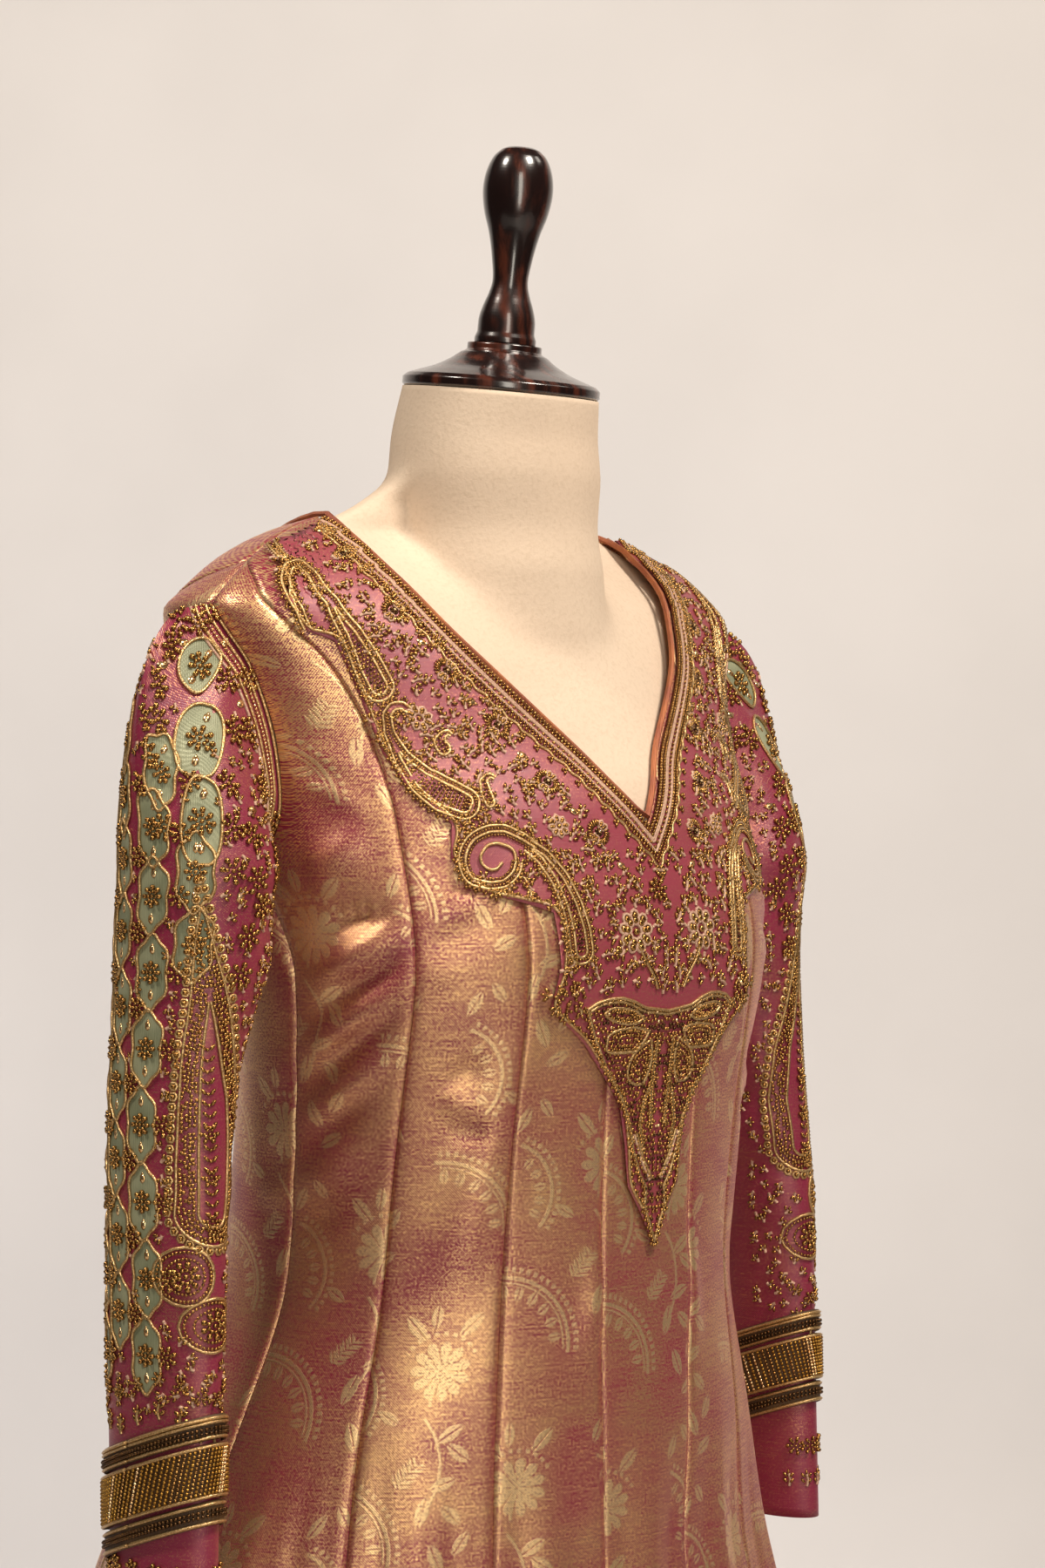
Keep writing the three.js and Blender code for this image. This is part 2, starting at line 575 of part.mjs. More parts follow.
// A raised band round the sleeve between two levels, lower at the back edge
function bandGeometry(from, to, wall) {
  const count = 20;
  const rings = [from, to].map((level) => {
    const flat = sleeveRing(level, count);
    return flat.map((point, i) => {
      const z = level - CUFF_SLOPE * (point.y - valueAt([...SLEEVE_SECTIONS].reverse(), level, 'y'));
      return sleeveRing(z, count)[i];
    });
  });
  const normals = tubeNormals(rings);
  const lifted = rings.map((ring, r) => ring.map((point, c) => (
    point.clone().addScaledVector(normals[r][c], APPLIQUE_LIFT + wall)
  )));
  return wallGeometry(lifted, normals, wall, true);
}

function addCuffBands() {
  for (const { name, from, to, wall } of CUFF_BANDS) {
    const geometry = bandGeometry(from, to, wall);
    addMesh(`sleeve_${name}_right`, geometry, goldBraid);
    addMesh(`sleeve_${name}_left`, mirrored(geometry), goldBraid);
  }
}

// Point of an applique that lies on the front of the gown, at a place seen from the front
function liftedFrontPoint(x, z, lift) {
  const share = shareAtWidth(z, Math.abs(x), false);
  const side = x < 0 ? -1 : 1;
  const normal = gownNormal(z, share);
  const point = gownPoint(z, share).addScaledVector(normal, lift);
  point.x *= side;
  normal.x *= side;
  return { point, normal };
}

function addYoke() {
  const half = YOKE_EDGE.length - 1;
  const grid = [];
  const inward = [];
  for (let row = YOKE_CELLS_ACROSS; row >= 0; row -= 1) {
    const t = row / YOKE_CELLS_ACROSS;
    const line = [];
    for (let i = -half; i <= half; i += 1) {
      const k = Math.abs(i) / half;
      const edge = YOKE_EDGE[Math.abs(i)];
      const neck = alongCurve(FRONT_NECKLINE, ['x', 'z'], k * 0.985);
      const x = THREE.MathUtils.lerp(neck.x, edge.x, 0.01 + 0.99 * t);
      const z = THREE.MathUtils.lerp(neck.z, edge.z, 0.01 + 0.99 * t);
      line.push(liftedFrontPoint(Math.sign(i) * x, z, YOKE_LIFT + APPLIQUE_WALL));
    }
    grid.push(line.map((place) => place.point));
    inward.push(line.map((place) => place.normal));
  }
  addMesh('front_yoke', wallGeometry(grid, inward, APPLIQUE_WALL), yokeCloth);
}

// Corded piping round the neck opening, beside the cut edge of the cloth
function addNeckPiping() {
  const path = [];
  const place = (x, z, onBack) => {
    const share = shareAtWidth(z, Math.abs(x), onBack);
    const point = gownPoint(z, share);
    const onRidge = THREE.MathUtils.smoothstep(z, 1422, 1440);
    const normal = gownNormal(z, share).lerp(ridgeNormal(z), onRidge).normalize();
    if (x < 0) {
      point.x *= -1;
      normal.x *= -1;
    }
    return { point, normal };
  };
  for (let i = -PIPING_STEPS.front; i < PIPING_STEPS.front; i += 1) {
    const { x, z } = alongCurve(FRONT_NECKLINE, ['x', 'z'], Math.abs(i) / PIPING_STEPS.front);
    path.push(place(Math.sign(i) * x, z, false));
  }
  for (let i = 0; i < 2 * PIPING_STEPS.back; i += 1) {
    const t = 1 - Math.abs(1 - i / PIPING_STEPS.back);
    const { x, z } = alongCurve(BACK_NECKLINE, ['x', 'z'], t);
    path.push(place((i <= PIPING_STEPS.back ? 1 : -1) * x, z, true));
  }
  const moved = path.map(({ point, normal }, i) => {
    const next = path[(i + 1) % path.length].point;
    const before = path[(i + path.length - 1) % path.length].point;
    const away = next.clone().sub(before).cross(normal).normalize();
    if (away.z < 0) away.negate();
    const bend = point.clone().sub(before).angleTo(next.clone().sub(point)) / 2;
    const reach = (PIPING_GAP + PIPING_RADIUS) / Math.cos(bend);
    return point.clone().addScaledVector(away, reach).addScaledVector(normal, PIPING_LIFT);
  });
  const curve = new THREE.CatmullRomCurve3(moved, true, 'centripetal');
  const rings = 72;
  const sides = 6;
  const frames = curve.computeFrenetFrames(rings, true);
  const grid = [];
  for (let r = 0; r < rings; r += 1) {
    const at = curve.getPointAt(r / rings);
    grid.push(Array.from({ length: sides }, (unused, s) => {
      const angle = (2 * Math.PI * s) / sides;
      return at.clone()
        .addScaledVector(frames.normals[r], PIPING_RADIUS * Math.cos(angle))
        .addScaledVector(frames.binormals[r], PIPING_RADIUS * Math.sin(angle));
    }));
  }
  addMesh('neck_piping', ringTubeGeometry(grid), goldBraid);
}

// Closed ring of a cord from the sections round it
function ringTubeGeometry(grid) {
  const rings = grid.length;
  const sides = grid[0].length;
  const index = [];
  for (let r = 0; r < rings; r += 1) {
    for (let s = 0; s < sides; s += 1) {
      const a = r * sides + s;
      const b = r * sides + ((s + 1) % sides);
      const c = ((r + 1) % rings) * sides + ((s + 1) % sides);
      const d = ((r + 1) % rings) * sides + s;
      index.push(a, b, c, a, c, d);
    }
  }
  const geometry = new THREE.BufferGeometry();
  const flat = grid.flat().flatMap((p) => [p.x, p.y, p.z]);
  geometry.setAttribute('position', new THREE.Float32BufferAttribute(flat, 3));
  geometry.setIndex(index);
  return geometry;
}

// The torso of the dress form, from its flat foot to the sloping top of the neck
function addDressForm() {
  const chest = GOWN_SECTIONS.filter((row) => row.z >= CHEST_Z).map((row) => {
    const atTip = row.z > 1340 && row.z < 1430 ? SHOULDER_TIP_GAP : 0;
    const inset = CLOTH + atTip + (row.z < 1440 ? CHEST_GAP : REST_GAP);
    return { ...row, width: row.width - inset, front: row.front - inset, back: row.back - inset };
  });
  const sections = [...FORM_SECTIONS, ...chest];
  const levels = [790, 800, 871, 930, 990, 1050, 1100, 1150, 1200, 1240, 1279, 1323, 1360, 1380, 1391,
    1399, 1406, 1415, 1423, 1430, 1436, 1443, 1454, 1465, 1484, NECK_TOP_Z];
  const around = 40;
  const positions = [];
  levels.forEach((level, row) => {
    const covered = 1 - THREE.MathUtils.smoothstep(level, 1440, 1470);
    const { points } = halfSection(sections, level, covered * (CLOTH + CHEST_GAP));
    const lowered = covered * FORM_DROP * THREE.MathUtils.smoothstep(level, 1360, 1406);
    const shrink = row === 0 ? 0.93 : 1;
    for (let i = 0; i < around; i += 1) {
      const turn = (i / around) * 2;
      const step = Math.round((turn <= 1 ? turn : 2 - turn) * STEPS);
      const [x, y] = points[step];
      const slope = THREE.MathUtils.smoothstep(level, 1465, NECK_TOP_Z) * Math.tan(NECK_TILT);
      positions.push((turn <= 1 ? x : -x) * shrink, y * shrink, level - lowered + slope * y);
    }
  });
  const index = [];
  const at = (r, i) => r * around + (i % around);
  for (let r = 0; r < levels.length - 1; r += 1) {
    for (let i = 0; i < around; i += 1) {
      index.push(at(r, i), at(r, i + 1), at(r + 1, i + 1), at(r, i), at(r + 1, i + 1), at(r + 1, i));
    }
  }
  const top = levels.length - 1;
  for (let i = 1; i < around - 1; i += 1) {
    index.push(at(0, 0), at(0, i + 1), at(0, i));
    index.push(at(top, 0), at(top, i), at(top, i + 1));
  }
  const geometry = new THREE.BufferGeometry();
  geometry.setAttribute('position', new THREE.Float32BufferAttribute(positions, 3));
  geometry.setIndex(index);
  addMesh('dress_form', geometry, suede);
}

function turned(profile, segments) {
  const geometry = new THREE.LatheGeometry(profile.map(([r, h]) => new THREE.Vector2(r, h)), segments);
  geometry.rotateX(Math.PI / 2);
  return geometry;
}

// Turned wooden cap and finial on the neck, leaning with it
function addNeckCap() {
  const lean = new THREE.Group();
  lean.position.set(0, -3, NECK_TOP_Z + SEAM_GAP - 3 * Math.tan(NECK_TILT));
  lean.rotation.x = NECK_TILT;
  gown.add(lean);
  const { radius, rim, height, topRadius } = CAP;
  addMesh('neck_cap', turned([
    [0, 0], [radius - 1.2, 0], [radius, 1.4], [radius, rim], [radius - 2.4, rim + 2.2],
    [radius - 9, rim + 4.6], [radius - 18, rim + 8], [radius - 26, rim + 12.5],
    [topRadius + 3.5, height - 5.5], [topRadius, height - 3.5], [topRadius, height], [0, height],
  ], 28), walnut, lean);
  const { collar, waist, knob, waistHeight, knobHeight, height: tall } = FINIAL;
  const finial = addMesh('finial', turned([
    [0, 0], [collar, 0], [collar, 3], [collar - 1.2, 6], [collar - 1.5, 14], [collar - 3.4, 21],
    [waist + 1.6, 27], [waist, waistHeight], [waist + 1.3, waistHeight + 12],
    [waist + 4.2, waistHeight + 26], [knob - 1.6, knobHeight - 12], [knob, knobHeight],
    [knob - 1.4, knobHeight + 10], [knob - 5, tall - 5], [knob - 9, tall - 1.2],
    [knob - 12, tall], [0, tall],
  ], 24), walnut, lean);
  finial.position.z = height + SEAM_GAP;
}

function addStand() {
  const { radius, height, bevel } = BASE;
  addMesh('stand_base', turned([
    [0, 0], [radius - 2, 0], [radius, 2], [radius, height - bevel], [radius - bevel, height], [0, height],
  ], 48), walnut);
  const foot = height + SEAM_GAP;
  const pole = new THREE.CylinderGeometry(POLE_RADIUS, POLE_RADIUS, 790 - SEAM_GAP - foot, 20);
  pole.rotateX(Math.PI / 2);
  const mesh = addMesh('stand_pole', pole, walnut);
  mesh.position.z = (790 - SEAM_GAP + foot) / 2;
}

addDressForm();
addNeckCap();
addStand();
addBodyPanels();
addSleeves();
addCuffBands();
addYoke();
addNeckPiping();

export default gown;
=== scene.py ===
import math
import bpy
import numpy as np
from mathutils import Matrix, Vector


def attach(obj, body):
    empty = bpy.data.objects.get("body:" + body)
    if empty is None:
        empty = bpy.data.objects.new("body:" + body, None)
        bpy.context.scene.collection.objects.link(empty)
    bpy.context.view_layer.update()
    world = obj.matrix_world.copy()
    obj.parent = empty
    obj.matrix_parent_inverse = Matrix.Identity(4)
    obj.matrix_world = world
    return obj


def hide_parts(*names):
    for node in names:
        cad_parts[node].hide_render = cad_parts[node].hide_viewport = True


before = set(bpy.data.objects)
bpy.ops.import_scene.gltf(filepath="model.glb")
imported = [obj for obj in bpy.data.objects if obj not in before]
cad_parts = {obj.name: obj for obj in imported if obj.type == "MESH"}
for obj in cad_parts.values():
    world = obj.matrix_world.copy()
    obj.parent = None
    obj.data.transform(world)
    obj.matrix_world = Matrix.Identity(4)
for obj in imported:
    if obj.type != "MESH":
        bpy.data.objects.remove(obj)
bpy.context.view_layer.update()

dice = np.random.default_rng(7)
mm = 0.001
print("scene: frame loaded")

# Camera and light

scene = bpy.context.scene
scene.render.resolution_x = 1200
scene.render.resolution_y = 1800
scene.view_settings.view_transform = "Standard"

# the photo is taken level, at 45 degrees to the front, from 1.8 m; targets are in millimetres
targetPlace = {"y": -20, "z": 1300}
target = Vector((0, targetPlace["y"], targetPlace["z"])) * mm
cameraPlace = {"distance": 1.8, "azimuth": -45.0, "lens": 75.6, "sensor": 36.0}


def addCamera(place):
    data = bpy.data.cameras.new("camera")
    data.lens = place["lens"]
    data.sensor_fit = "VERTICAL"
    data.sensor_height = place["sensor"]
    data.clip_end = 50
    camera = bpy.data.objects.new("camera", data)
    scene.collection.objects.link(camera)
    turn = math.radians(place["azimuth"])
    away = Vector((math.sin(turn), -math.cos(turn), 0))
    camera.location = target + away * place["distance"]
    camera.rotation_euler = (-away).to_track_quat("-Z", "Y").to_euler()
    scene.camera = camera
    return away


towardsCamera = addCamera(cameraPlace)


def addArea(name, azimuth, elevation, distance, size, power, colour, aim=(0, 0, 1150), turnedAway=False):
    data = bpy.data.lights.new(name, "AREA")
    data.shape = "RECTANGLE"
    data.size, data.size_y = size
    data.energy = power
    data.color = colour
    lamp = bpy.data.objects.new(name, data)
    scene.collection.objects.link(lamp)
    a, e = math.radians(azimuth), math.radians(elevation)
    way = Vector((math.sin(a) * math.cos(e), -math.cos(a) * math.cos(e), math.sin(e)))
    lamp.location = Vector(aim) * mm + way * distance
    lamp.rotation_euler = (way if turnedAway else -way).to_track_quat("-Z", "Y").to_euler()


# warm ceiling spots, hardly any fill, and a lamp for the backdrop alone
addArea("keyLight", 6, 56, 2.6, (0.6, 0.6), 70, (1.0, 0.90, 0.79))
addArea("rightSpot", 50, 50, 2.8, (0.6, 0.6), 5, (1.0, 0.91, 0.80))
addArea("leftSpot", -108, 54, 2.8, (0.4, 0.4), 44, (1.0, 0.91, 0.80))
addArea("tallPanel", -36, 10, 2.5, (0.5, 2.2), 29, (1.0, 0.92, 0.80))
addArea("backdropLight", 135, 30, 0.5, (2.0, 2.0), 10.5, (0.93, 0.96, 1.0), (-330, 330, 650), turnedAway=True)

world = bpy.data.worlds.new("world")
scene.world = world
world.use_nodes = True
background = world.node_tree.nodes["Background"]
background.inputs["Color"].default_value = (0.93, 0.89, 0.85, 1)
background.inputs["Strength"].default_value = 0.03

# Small helpers


def srgb(text):
    parts = [int(text[i:i + 2], 16) / 255 for i in (0, 2, 4)]
    return tuple(c / 12.92 if c <= 0.04045 else ((c + 0.055) / 1.055) ** 2.4 for c in parts) + (1.0,)


def smoothStep(a, b, x):
    t = np.clip((np.asarray(x, float) - a) / (b - a), 0, 1)
    return t * t * (3 - 2 * t)


# rows of a table as dictionaries, by the names of its columns
def table(columns, *rows):
    return [dict(zip(columns.split(), row)) for row in rows]


def meshObject(name, points, faces, material, uv=None):
    mesh = bpy.data.meshes.new(name)
    mesh.from_pydata((np.asarray(points) * mm).tolist(), [], faces)
    if uv is not None:
        layer = mesh.uv_layers.new(name="UVMap")
        loops = np.empty(len(mesh.loops), int)
        mesh.loops.foreach_get("vertex_index", loops)
        layer.data.foreach_set("uv", np.asarray(uv, float)[loops].ravel())
    mesh.polygons.foreach_set("use_smooth", [True] * len(mesh.polygons))
    mesh.materials.append(material)
    mesh.update()
    piece = bpy.data.objects.new(name, mesh)
    scene.collection.objects.link(piece)
    return piece


# puts a piece on the root body and hides the solid it stands for
def settle(piece, node=None):
    if node:
        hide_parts(node)
    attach(piece, "root")
    return piece


def gridFaces(rows, cols, start=0, flip=False, ring=False):
    r, c = np.meshgrid(np.arange(rows - 1), np.arange(cols if ring else cols - 1), indexing="ij")
    r, c = r.ravel(), c.ravel()
    n = (c + 1) % cols
    quads = np.stack([r * cols + c, r * cols + n, (r + 1) * cols + n, (r + 1) * cols + c], 1) + start
    return quads[:, ::-1] if flip else quads


# side faces of a round shape and the fans that close its ends, to the last two points
def roundFaces(rows, count):
    faces = gridFaces(rows, count, ring=True).tolist()
    start, foot, head = (rows - 1) * count, rows * count, rows * count + 1
    for k in range(count):
        n = (k + 1) % count
        faces += [(foot, n, k), (head, start + k, start + n)]
    return faces


def wallMesh(name, outer, inward, wall, material, uv, ring=False):
    rows, cols = outer.shape[:2]
    inner = outer - inward * wall
    points = np.concatenate([outer.reshape(-1, 3), inner.reshape(-1, 3)])
    half = rows * cols
    faces = [gridFaces(rows, cols, ring=ring), gridFaces(rows, cols, half, True, ring)]
    ids = np.arange(half).reshape(rows, cols)
    columns = np.arange(cols if ring else cols - 1)
    n = (columns + 1) % cols
    faces.append(np.stack([ids[0, n], ids[0, columns], ids[0, columns] + half, ids[0, n] + half], 1))
    faces.append(np.stack([ids[-1, columns], ids[-1, n], ids[-1, n] + half, ids[-1, columns] + half], 1))
    if not ring:
        faces.append(np.stack([ids[:-1, 0], ids[1:, 0], ids[1:, 0] + half, ids[:-1, 0] + half], 1))
        faces.append(np.stack([ids[1:, -1], ids[:-1, -1], ids[:-1, -1] + half, ids[1:, -1] + half], 1))
    flat = uv.reshape(-1, 2)
    return meshObject(name, points, np.concatenate(faces).tolist(), material, np.concatenate([flat, flat]))


# The gown's shape, in millimetres

cloth = 1.6
seamGap = 0.3
hemZ = 40.0
panelSplitZ = 1200.0
underarmZ = 1261.5
shoulderTipZ = 1393.0
princessZ = 1416.0
neckSideZ = 1442.4

# half width, centre, depth in front and behind, and how square, at each height
gownSections = table(
    "z width centre front frontPower back backPower",
    (40, 410, 55, 365, 2.0, 365, 2.1),
    (450, 309, 47, 262, 2.0, 260, 2.2),
    (700, 247, 43, 196, 2.0, 197, 2.3),
    (871, 205, 40, 157, 2.0, 150, 2.4),
    (960, 172, 24, 140, 2.0, 133, 2.35),
    (1050, 148, 13, 128, 2.0, 118, 2.3),
    (1130, 152, 6, 124, 2.1, 108, 2.2),
    (1210, 161, 0, 128, 2.2, 100, 2.3),
    (1279, 164, 4, 116, 2.05, 94, 2.7),
    (1323, 168, 8, 97, 2.0, 90, 3.0),
    (1360, 176, 13, 85.5, 2.0, 91, 3.5),
    (1391, 190, 15, 66, 2.0, 86, 3.6),
    (1406, 177, 16, 56, 2.0, 80, 3.4),
    (1423, 155, 18, 38, 2.0, 74, 3.0),
    (1436, 129, 21, 20, 2.0, 62, 2.6),
    (1443, 110, 22, 13, 2.0, 47, 2.4),
    (1454, 80, 22, 14, 2.0, 38, 2.2),
    (1465, 60, 18, 22, 2.0, 36, 2.0),
    (1484, 38, 8, 28, 2.0, 28, 2.0),
    (1515, 30, 0, 26, 2.0, 26, 2.0))
neckSections = table(
    "z radius centre",
    (1300, 20, 0),
    (1330, 44, 0),
    (1360, 57, 0),
    (1391, 63.5, 0),
    (1418, 63, 0),
    (1437, 61, 1),
    (1462, 59, 2),
    (1484, 57.5, 2),
    (1515, 54, -3))
frontSeams = table(
    "z front princess bust side",
    (40, 0.071, 0.214, 0.357, 0.5),
    (700, 0.062, 0.19, 0.33, 0.5),
    (880, 0.055, 0.177, 0.316, 0.497),
    (960, 0.068, 0.196, 0.34, 0.49),
    (1050, 0.079, 0.208, 0.35, 0.484),
    (1210, 0.081, 0.2, 0.331, 0.49))
backSeams = table(
    "z outer inner back",
    (40, 0.643, 0.786, 0.929),
    (880, 0.643, 0.786, 0.929),
    (960, 0.65, 0.788, 0.93),
    (1050, 0.665, 0.795, 0.932),
    (1210, 0.735, 0.832, 0.944))
seamMarks = [0, 0.5, 1.5, 2.5, 3.5, 4.5, 5.5, 6.5, 7]


# one column of a table at any height, smooth and without overshoot
def column(table, name, z):
    z = np.asarray(z, float)
    zs = np.array([row["z"] for row in table], float)
    vs = np.array([row[name] for row in table], float)
    slope = np.diff(vs) / np.diff(zs)
    tangent = np.empty(len(zs))
    tangent[0], tangent[-1] = slope[0], slope[-1]
    a, b = slope[:-1], slope[1:]
    tangent[1:-1] = np.where(a * b <= 0, 0, 2 * a * b / np.where(a + b == 0, 1, a + b))
    zc = np.clip(z, zs[0], zs[-1])
    i = np.clip(np.searchsorted(zs, zc, side="right") - 1, 0, len(zs) - 2)
    span = zs[i + 1] - zs[i]
    t = (zc - zs[i]) / span
    return ((1 + 2 * t) * (1 - t) ** 2 * vs[i] + t * (1 - t) ** 2 * span * tangent[i]
            + t * t * (3 - 2 * t) * vs[i + 1] + t * t * (t - 1) * span * tangent[i + 1])


# half sections from centre front to centre back on a fine grid of heights and shares
tableStep = 2.0
tableZ = np.arange(20, 1506, tableStep)
tableShares = np.linspace(0, 1, 401)


# distance from the centre line of a set of sections, joined softly to the neck column
def sectionReach(sections, z, angles, neckInset=0.0):
    sin, cos = np.sin(angles), np.cos(angles)
    read = {name: column(sections, name, z) for name in sections[0] if name != "z"}
    depth = np.where(cos > 0, read["front"], read["back"])
    power = np.where(cos > 0, read["frontPower"], read["backPower"])
    reach = ((np.abs(sin) / read["width"]) ** power + (np.abs(cos) / depth) ** power) ** (-1 / power)
    radius = column(neckSections, "radius", z) - neckInset
    offset = read["centre"] - column(neckSections, "centre", z)
    along = -offset * cos
    inside = along ** 2 - offset ** 2 + radius ** 2
    neckReach = np.where(inside > 0, -along + np.sqrt(np.maximum(inside, 0)), 0)
    neckReach = np.where((z > neckSections[0]["z"]) & (neckReach > 0), neckReach, 1e-3)
    reach = (reach ** 10 + neckReach ** 10) ** 0.1
    return reach * sin, read["centre"] - reach * cos


def buildHalfSections():
    x, y = sectionReach(gownSections, tableZ[:, None], np.linspace(0, math.pi, 361)[None, :])
    steps = np.hypot(np.diff(x, axis=1), np.diff(y, axis=1))
    lengths = np.concatenate([np.zeros((len(tableZ), 1)), np.cumsum(steps, axis=1)], axis=1)
    total = lengths[:, -1]
    shares = lengths / total[:, None]
    xs = np.array([np.interp(tableShares, s, v) for s, v in zip(shares, x)])
    ys = np.array([np.interp(tableShares, s, v) for s, v in zip(shares, y)])
    return xs, ys, total, shares[:, 180]


tableX, tableY, halfLength, sideShare = buildHalfSections()


# points of the gown's outer face; a negative share is the wearer's right
def gownAt(z, share):
    z, share = np.broadcast_arrays(np.asarray(z, float), np.asarray(share, float))
    fz = np.clip((z - tableZ[0]) / tableStep, 0, len(tableZ) - 1.001)
    fs = np.clip(np.abs(share), 0, 1) * (len(tableShares) - 1)
    fs = np.minimum(fs, len(tableShares) - 1.001)
    i, j = fz.astype(int), fs.astype(int)
    a, b = fz - i, fs - j

    def pick(table):
        return ((1 - a) * ((1 - b) * table[i, j] + b * table[i, j + 1])
                + a * ((1 - b) * table[i + 1, j] + b * table[i + 1, j + 1]))
    return np.stack([pick(tableX) * np.where(share < 0, -1, 1), pick(tableY), z], -1)


def gownNormal(z, share):
    z, share = np.broadcast_arrays(np.asarray(z, float), np.asarray(share, float))
    s, sign = np.abs(share), np.where(share < 0, -1.0, 1.0)
    d = 0.01
    around = gownAt(z, np.minimum(s + d, 1)) - gownAt(z, np.maximum(s - d, 0))
    around = np.where((s < d)[..., None], [1, 0, 0], np.where((s > 1 - d)[..., None], [-1, 0, 0], around))
    up = gownAt(z + 4, s) - gownAt(z - 4, s)
    normal = np.cross(around, up)
    normal /= np.linalg.norm(normal, axis=-1, keepdims=True)
    normal[..., 0] *= sign
    return normal


def atSide(z, behind):
    return np.interp(z, tableZ, sideShare) + behind / np.interp(z, tableZ, halfLength)


def atWidth(z, x, onBack=False):
    i = int(np.clip(round((z - tableZ[0]) / tableStep), 0, len(tableZ) - 1))
    row = np.stack([tableX[i], tableShares], 1)
    part = row[row[:, 1] >= sideShare[i]][::-1] if onBack else row[row[:, 1] <= sideShare[i]]
    return float(np.interp(abs(x), part[:, 0], part[:, 1]))


# smooth curve through places, read by its length
def alongCurve(places, t):
    p = np.asarray(places, float)
    p = np.concatenate([[2 * p[0] - p[1]], p, [2 * p[-1] - p[-2]]])
    out = []
    for k in range(1, len(p) - 2):
        knots = [0.0]
        for m in range(3):
            knots.append(knots[-1] + max(np.linalg.norm(p[k + m] - p[k + m - 1]) ** 0.5, 1e-6))
        u = np.linspace(knots[1], knots[2], 13)[:, None]
        a = [(knots[m + 1] - u) / (knots[m + 1] - knots[m]) * p[k - 1 + m]
             + (u - knots[m]) / (knots[m + 1] - knots[m]) * p[k + m] for m in range(3)]
        b = [(knots[m + 2] - u) / (knots[m + 2] - knots[m]) * a[m]
             + (u - knots[m]) / (knots[m + 2] - knots[m]) * a[m + 1] for m in range(2)]
        c = (knots[2] - u) / (knots[2] - knots[1]) * b[0] + (u - knots[1]) / (knots[2] - knots[1]) * b[1]
        out.append(c if k == 1 else c[1:])
    curve = np.concatenate(out)
    length = np.concatenate([[0], np.cumsum(np.linalg.norm(np.diff(curve, axis=0), axis=1))])
    at = np.clip(t, 0, 1) * length[-1]
    return np.stack([np.interp(at, length, curve[:, m]) for m in range(curve.shape[1])], -1)


frontNeckline = [(0, 1277), (18, 1298), (32, 1316), (48, 1333), (64, 1350),
                 (82, 1371), (97, 1394), (106, 1412), (109, 1430), (110, neckSideZ)]
backNeckline = [(110, neckSideZ), (104, 1436), (86, 1427), (58, 1420), (28, 1417), (0, 1416)]
armhole = [(0, shoulderTipZ), (-5, 1383), (-12, 1356), (-15, 1310), (-11, 1281), (2, 1266),
           (18, underarmZ), (34, 1267), (47, 1288), (50, 1318), (44, 1346), (30, 1371), (14, 1386),
           (0, shoulderTipZ)]
underarmIndex = 6


def armholePlace(t):
    half = armhole[:underarmIndex + 1] if t <= 1 else armhole[underarmIndex:]
    return alongCurve(half, t if t <= 1 else t - 1)


# how each stretch of the top edge is covered, counted in panel widths from centre front
topStretches = table(
    "cells span kind at late",
    (3, (0, 0.5), "neck", (0, 0.17), (1.5, 2)),
    (5, (0.5, 1.5), "neck", (0.17, 0.6), (2, 3)),
    (4, (1.5, 2.1), "neck", (0.6, 1), (3, 6)),
    (3, (2.1, 2.5), "ridge", (neckSideZ, princessZ), (6, 6)),
    (2, (2.5, 2.7), "ridge", (princessZ, shoulderTipZ), (6, 6)),
    (8, (2.7, 3.5), "armhole", (0, 1), (6, 1.5)),
    (4, (3.5, 4.15), "armhole", (1, 1.5), (0.6, 0.6)),
    (4, (4.15, 4.3), "armhole", (1.5, 2), (6, 9)),
    (2, (4.3, 4.5), "ridge", (shoulderTipZ, princessZ), (9, 8)),
    (3, (4.5, 5), "ridge", (princessZ, neckSideZ), (8, 6)),
    (2, (5, 5.5), "backNeck", (0, 0.3), (6, 4)),
    (4, (5.5, 6.5), "backNeck", (0.3, 0.8), (4, 3)),
    (2, (6.5, 7), "backNeck", (0.8, 1), (3, 3)))


def topPlace(kind, s):
    if kind == "ridge":
        return s, float(atSide(s, 0)), True
    if kind == "armhole":
        behind, z = armholePlace(s)
        return float(z), float(atSide(z, behind)), s in (0, 2)
    onBack = kind == "backNeck"
    x, z = alongCurve(backNeckline if onBack else frontNeckline, s)
    return float(z), atWidth(z, x, onBack), s == (0 if onBack else 1)


def seamShare(z, widths):
    knots = [np.zeros_like(z)] + [column(frontSeams, n, z) for n in ("front", "princess", "bust", "side")]
    knots += [column(backSeams, n, z) for n in ("outer", "inner", "back")] + [np.ones_like(z)]
    i = 0
    while i < len(seamMarks) - 2 and widths > seamMarks[i + 1]:
        i += 1
    t = (widths - seamMarks[i]) / (seamMarks[i + 1] - seamMarks[i])
    return knots[i] * (1 - t) + knots[i + 1] * t


def lerp(a, b, t):
    return a + (b - a) * t


print("scene: gown sections ready")

# Places seen in the photo

pixelsPerUnit = 2.1
photoCentre = (600.0, 900.0)


def project(points):
    p = np.asarray(points, float)
    x, y = p[..., 0], p[..., 1] - targetPlace["y"]
    side, depth = (x - y) * math.sqrt(0.5), (x + y) * math.sqrt(0.5)
    distance = cameraPlace["distance"] / mm
    scale = pixelsPerUnit * distance / (distance + depth)
    up = p[..., 2] - targetPlace["z"]
    return np.stack([photoCentre[0] + scale * side, photoCentre[1] - scale * up], -1)


